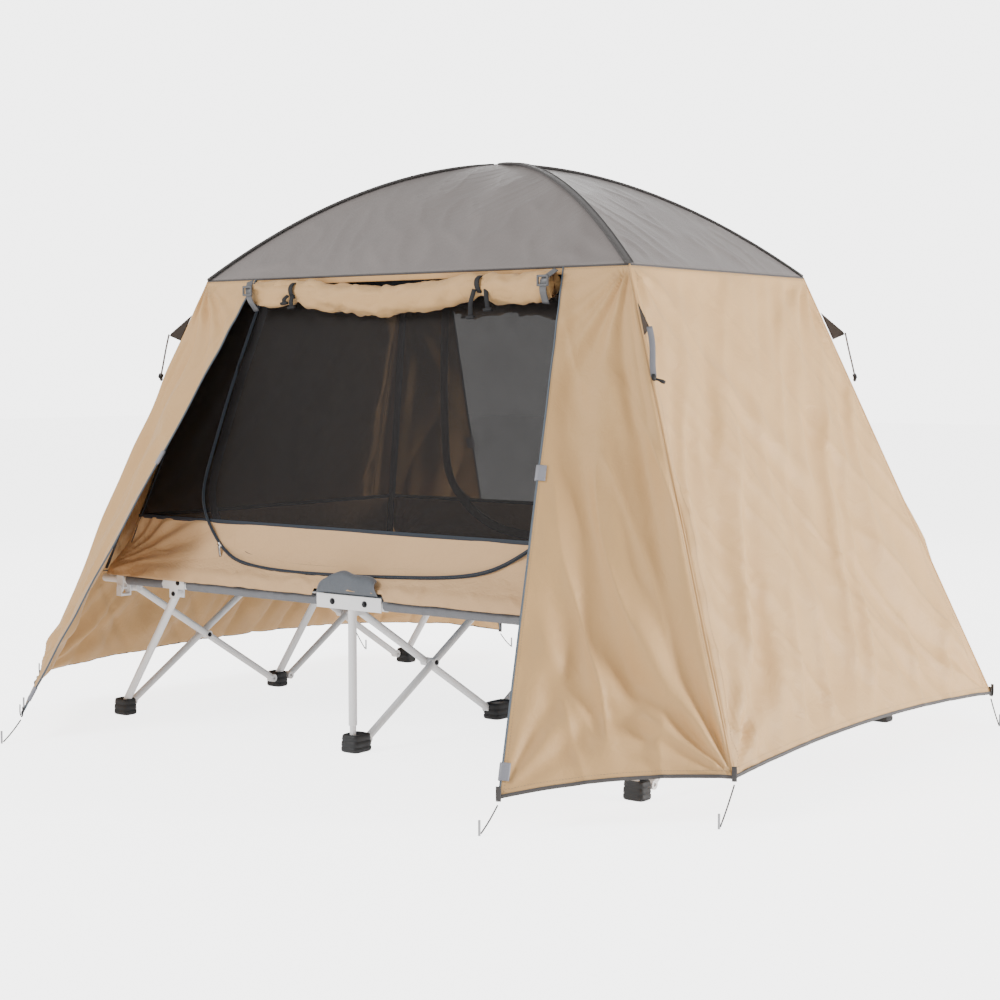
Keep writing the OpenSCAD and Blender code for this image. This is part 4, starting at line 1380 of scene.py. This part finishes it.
# %% Guy points
FIN_REACH, STRAP_LONG, STRAP_WIDE, STRAP_THICK = 0.042, 0.130, 0.016, 0.003
for sx, end in ((-1, "left"), (1, "right")):
    for sy, face in ((-1, "front"), (1, "back")):
        name = end + "_" + face
        corner = fly_grids[f"flap_{face}_{end}"][:, -1]
        out = np.array((sx * 0.80, sy * 0.60, 0.25))
        root = np.array([edge_point(corner, t)[0] for t in np.linspace(0.085, 0.150, 10)])
        root += out * 0.005
        tip = edge_point(corner, 0.142)[0] + out * FIN_REACH
        rows = np.linspace(0, 1, 10)[:, None, None]
        fin_grid = root[None] * (1 - rows) + tip * rows
        fin_grid += (root - root.mean(axis=0))[None] * 0.10 * rows
        fin = cloth_from_grid("guy_fin_" + name, fin_grid, flip=(sx * sy > 0))
        # the dark brown on this tan fin is painted shade
        dressed(fin, fin_painted_shade_cloth, "fly_tan")
        thicken(fin, 0.002)
        slope = corner[-1] - corner[0]
        drop = slope / np.linalg.norm(slope) * 0.75 + np.array((0, 0, -0.25))
        drop /= np.linalg.norm(drop)
        flat_way = np.array((-out[1], out[0], 0.0))
        flat_way /= np.linalg.norm(flat_way)
        hang = smooth_path([tip + out * (0.004 - 0.10 * d) + drop * d
                            + flat_way * 0.003 * math.sin(40 * d)
                            for d in np.linspace(0, STRAP_LONG, 14)], 24)
        strap = swept_strip("guy_strap_" + name, hang, flat_way, STRAP_WIDE, STRAP_THICK)
        dressed(strap, strap_cloth, "rope_grey")
        end_at = hang[-1]
        knot = swept_bar("knot", [end_at - drop * 0.006, end_at, end_at + drop * 0.007,
                                  end_at + drop * 0.010], [0.0070, 0.0085, 0.0080, 0.0045], 14, 0.7)
        tail = swept_bar("tail", [end_at + drop * 0.004,
                                  end_at + drop * 0.008 + flat_way * sx * 0.012,
                                  end_at + drop * 0.012 + flat_way * sx * 0.021,
                                  end_at + drop * 0.015 + flat_way * sx * 0.028],
                         [0.0030, 0.0030, 0.0052, 0.0040], 12)
        toggle = merged("guy_toggle_" + name, [knot, tail])
        dressed(toggle, dark_cloth, "pole_black")

# %% [markdown]
# The object stands on a plain pale floor in soft light. A broad lamp at the side grazes the long
# wall and brings out its creases, and the bright floor lifts the lower parts.

# %% Floor and light
# The camera sees the floor and the sky lifted to plain white. Other rays get the lower glow, so
# the lift does not light the object.
FLOOR_GLOW, FLOOR_LIFT, SKY_GLOW, SKY_SEEN = 0.7, 2.9, 0.80, 4.6


def make_stage():
    bpy.ops.mesh.primitive_plane_add(size=60, location=(0, 0, -0.0005))
    floor = bpy.context.object
    floor.name = "studio_floor"
    paper = bpy.data.materials.new("pale_floor")
    paper.use_nodes = True
    shade = paper.node_tree.nodes["Principled BSDF"]
    shade.inputs["Base Color"].default_value = (0.93, 0.93, 0.93, 1)
    shade.inputs["Roughness"].default_value = 0.9
    shade.inputs["Emission Color"].default_value = (1.0, 1.0, 1.0, 1)
    tree = paper.node_tree
    path = tree.nodes.new("ShaderNodeLightPath")
    bare = math_node(tree, "LESS_THAN", path.outputs["Transparent Depth"], 0.5)
    extra = math_node(tree, "MULTIPLY", path.outputs["Is Camera Ray"], FLOOR_LIFT)
    lift = math_node(tree, "MULTIPLY", bare, math_node(tree, "ADD", extra, FLOOR_GLOW))
    tree.links.new(lift, shade.inputs["Emission Strength"])
    floor.data.materials.append(paper)


def soft_light(name, place, aim, size, power):
    data = bpy.data.lights.new(name, "AREA")
    data.shape = "RECTANGLE"
    data.size, data.size_y = size
    data.energy = power
    light = bpy.data.objects.new(name, data)
    light.location = place
    light.rotation_euler = (Vector(aim) - Vector(place)).to_track_quat("-Z", "Y").to_euler()
    bpy.context.scene.collection.objects.link(light)


make_stage()
soft_light("side_light", (5.4, 1.6, 1.1), (1.1, 0, 0.45), (1.3, 1.3), 360)
soft_light("front_light", (-2.2, -5.4, 4.3), (-0.2, 0, 0.8), (2.4, 2.0), 240)
soft_light("back_light", (-3.5, 4.5, 3.5), (0, 0, 0.9), (3.0, 3.0), 120)
world = bpy.data.worlds.new("studio")
bpy.context.scene.world = world
world.use_nodes = True
sky = world.node_tree
glow = sky.nodes["Background"]
seen, level = sky.nodes.new("ShaderNodeLightPath"), sky.nodes.new("ShaderNodeMapRange")
level.inputs["To Min"].default_value = SKY_GLOW
level.inputs["To Max"].default_value = SKY_SEEN
bare = math_node(sky, "LESS_THAN", seen.outputs["Transparent Depth"], 0.5)
direct = math_node(sky, "MULTIPLY", seen.outputs["Is Camera Ray"], bare)
sky.links.new(direct, level.inputs["Value"])
sky.links.new(level.outputs["Result"], glow.inputs["Strength"])
glow.inputs["Color"].default_value = (1, 1, 1, 1)
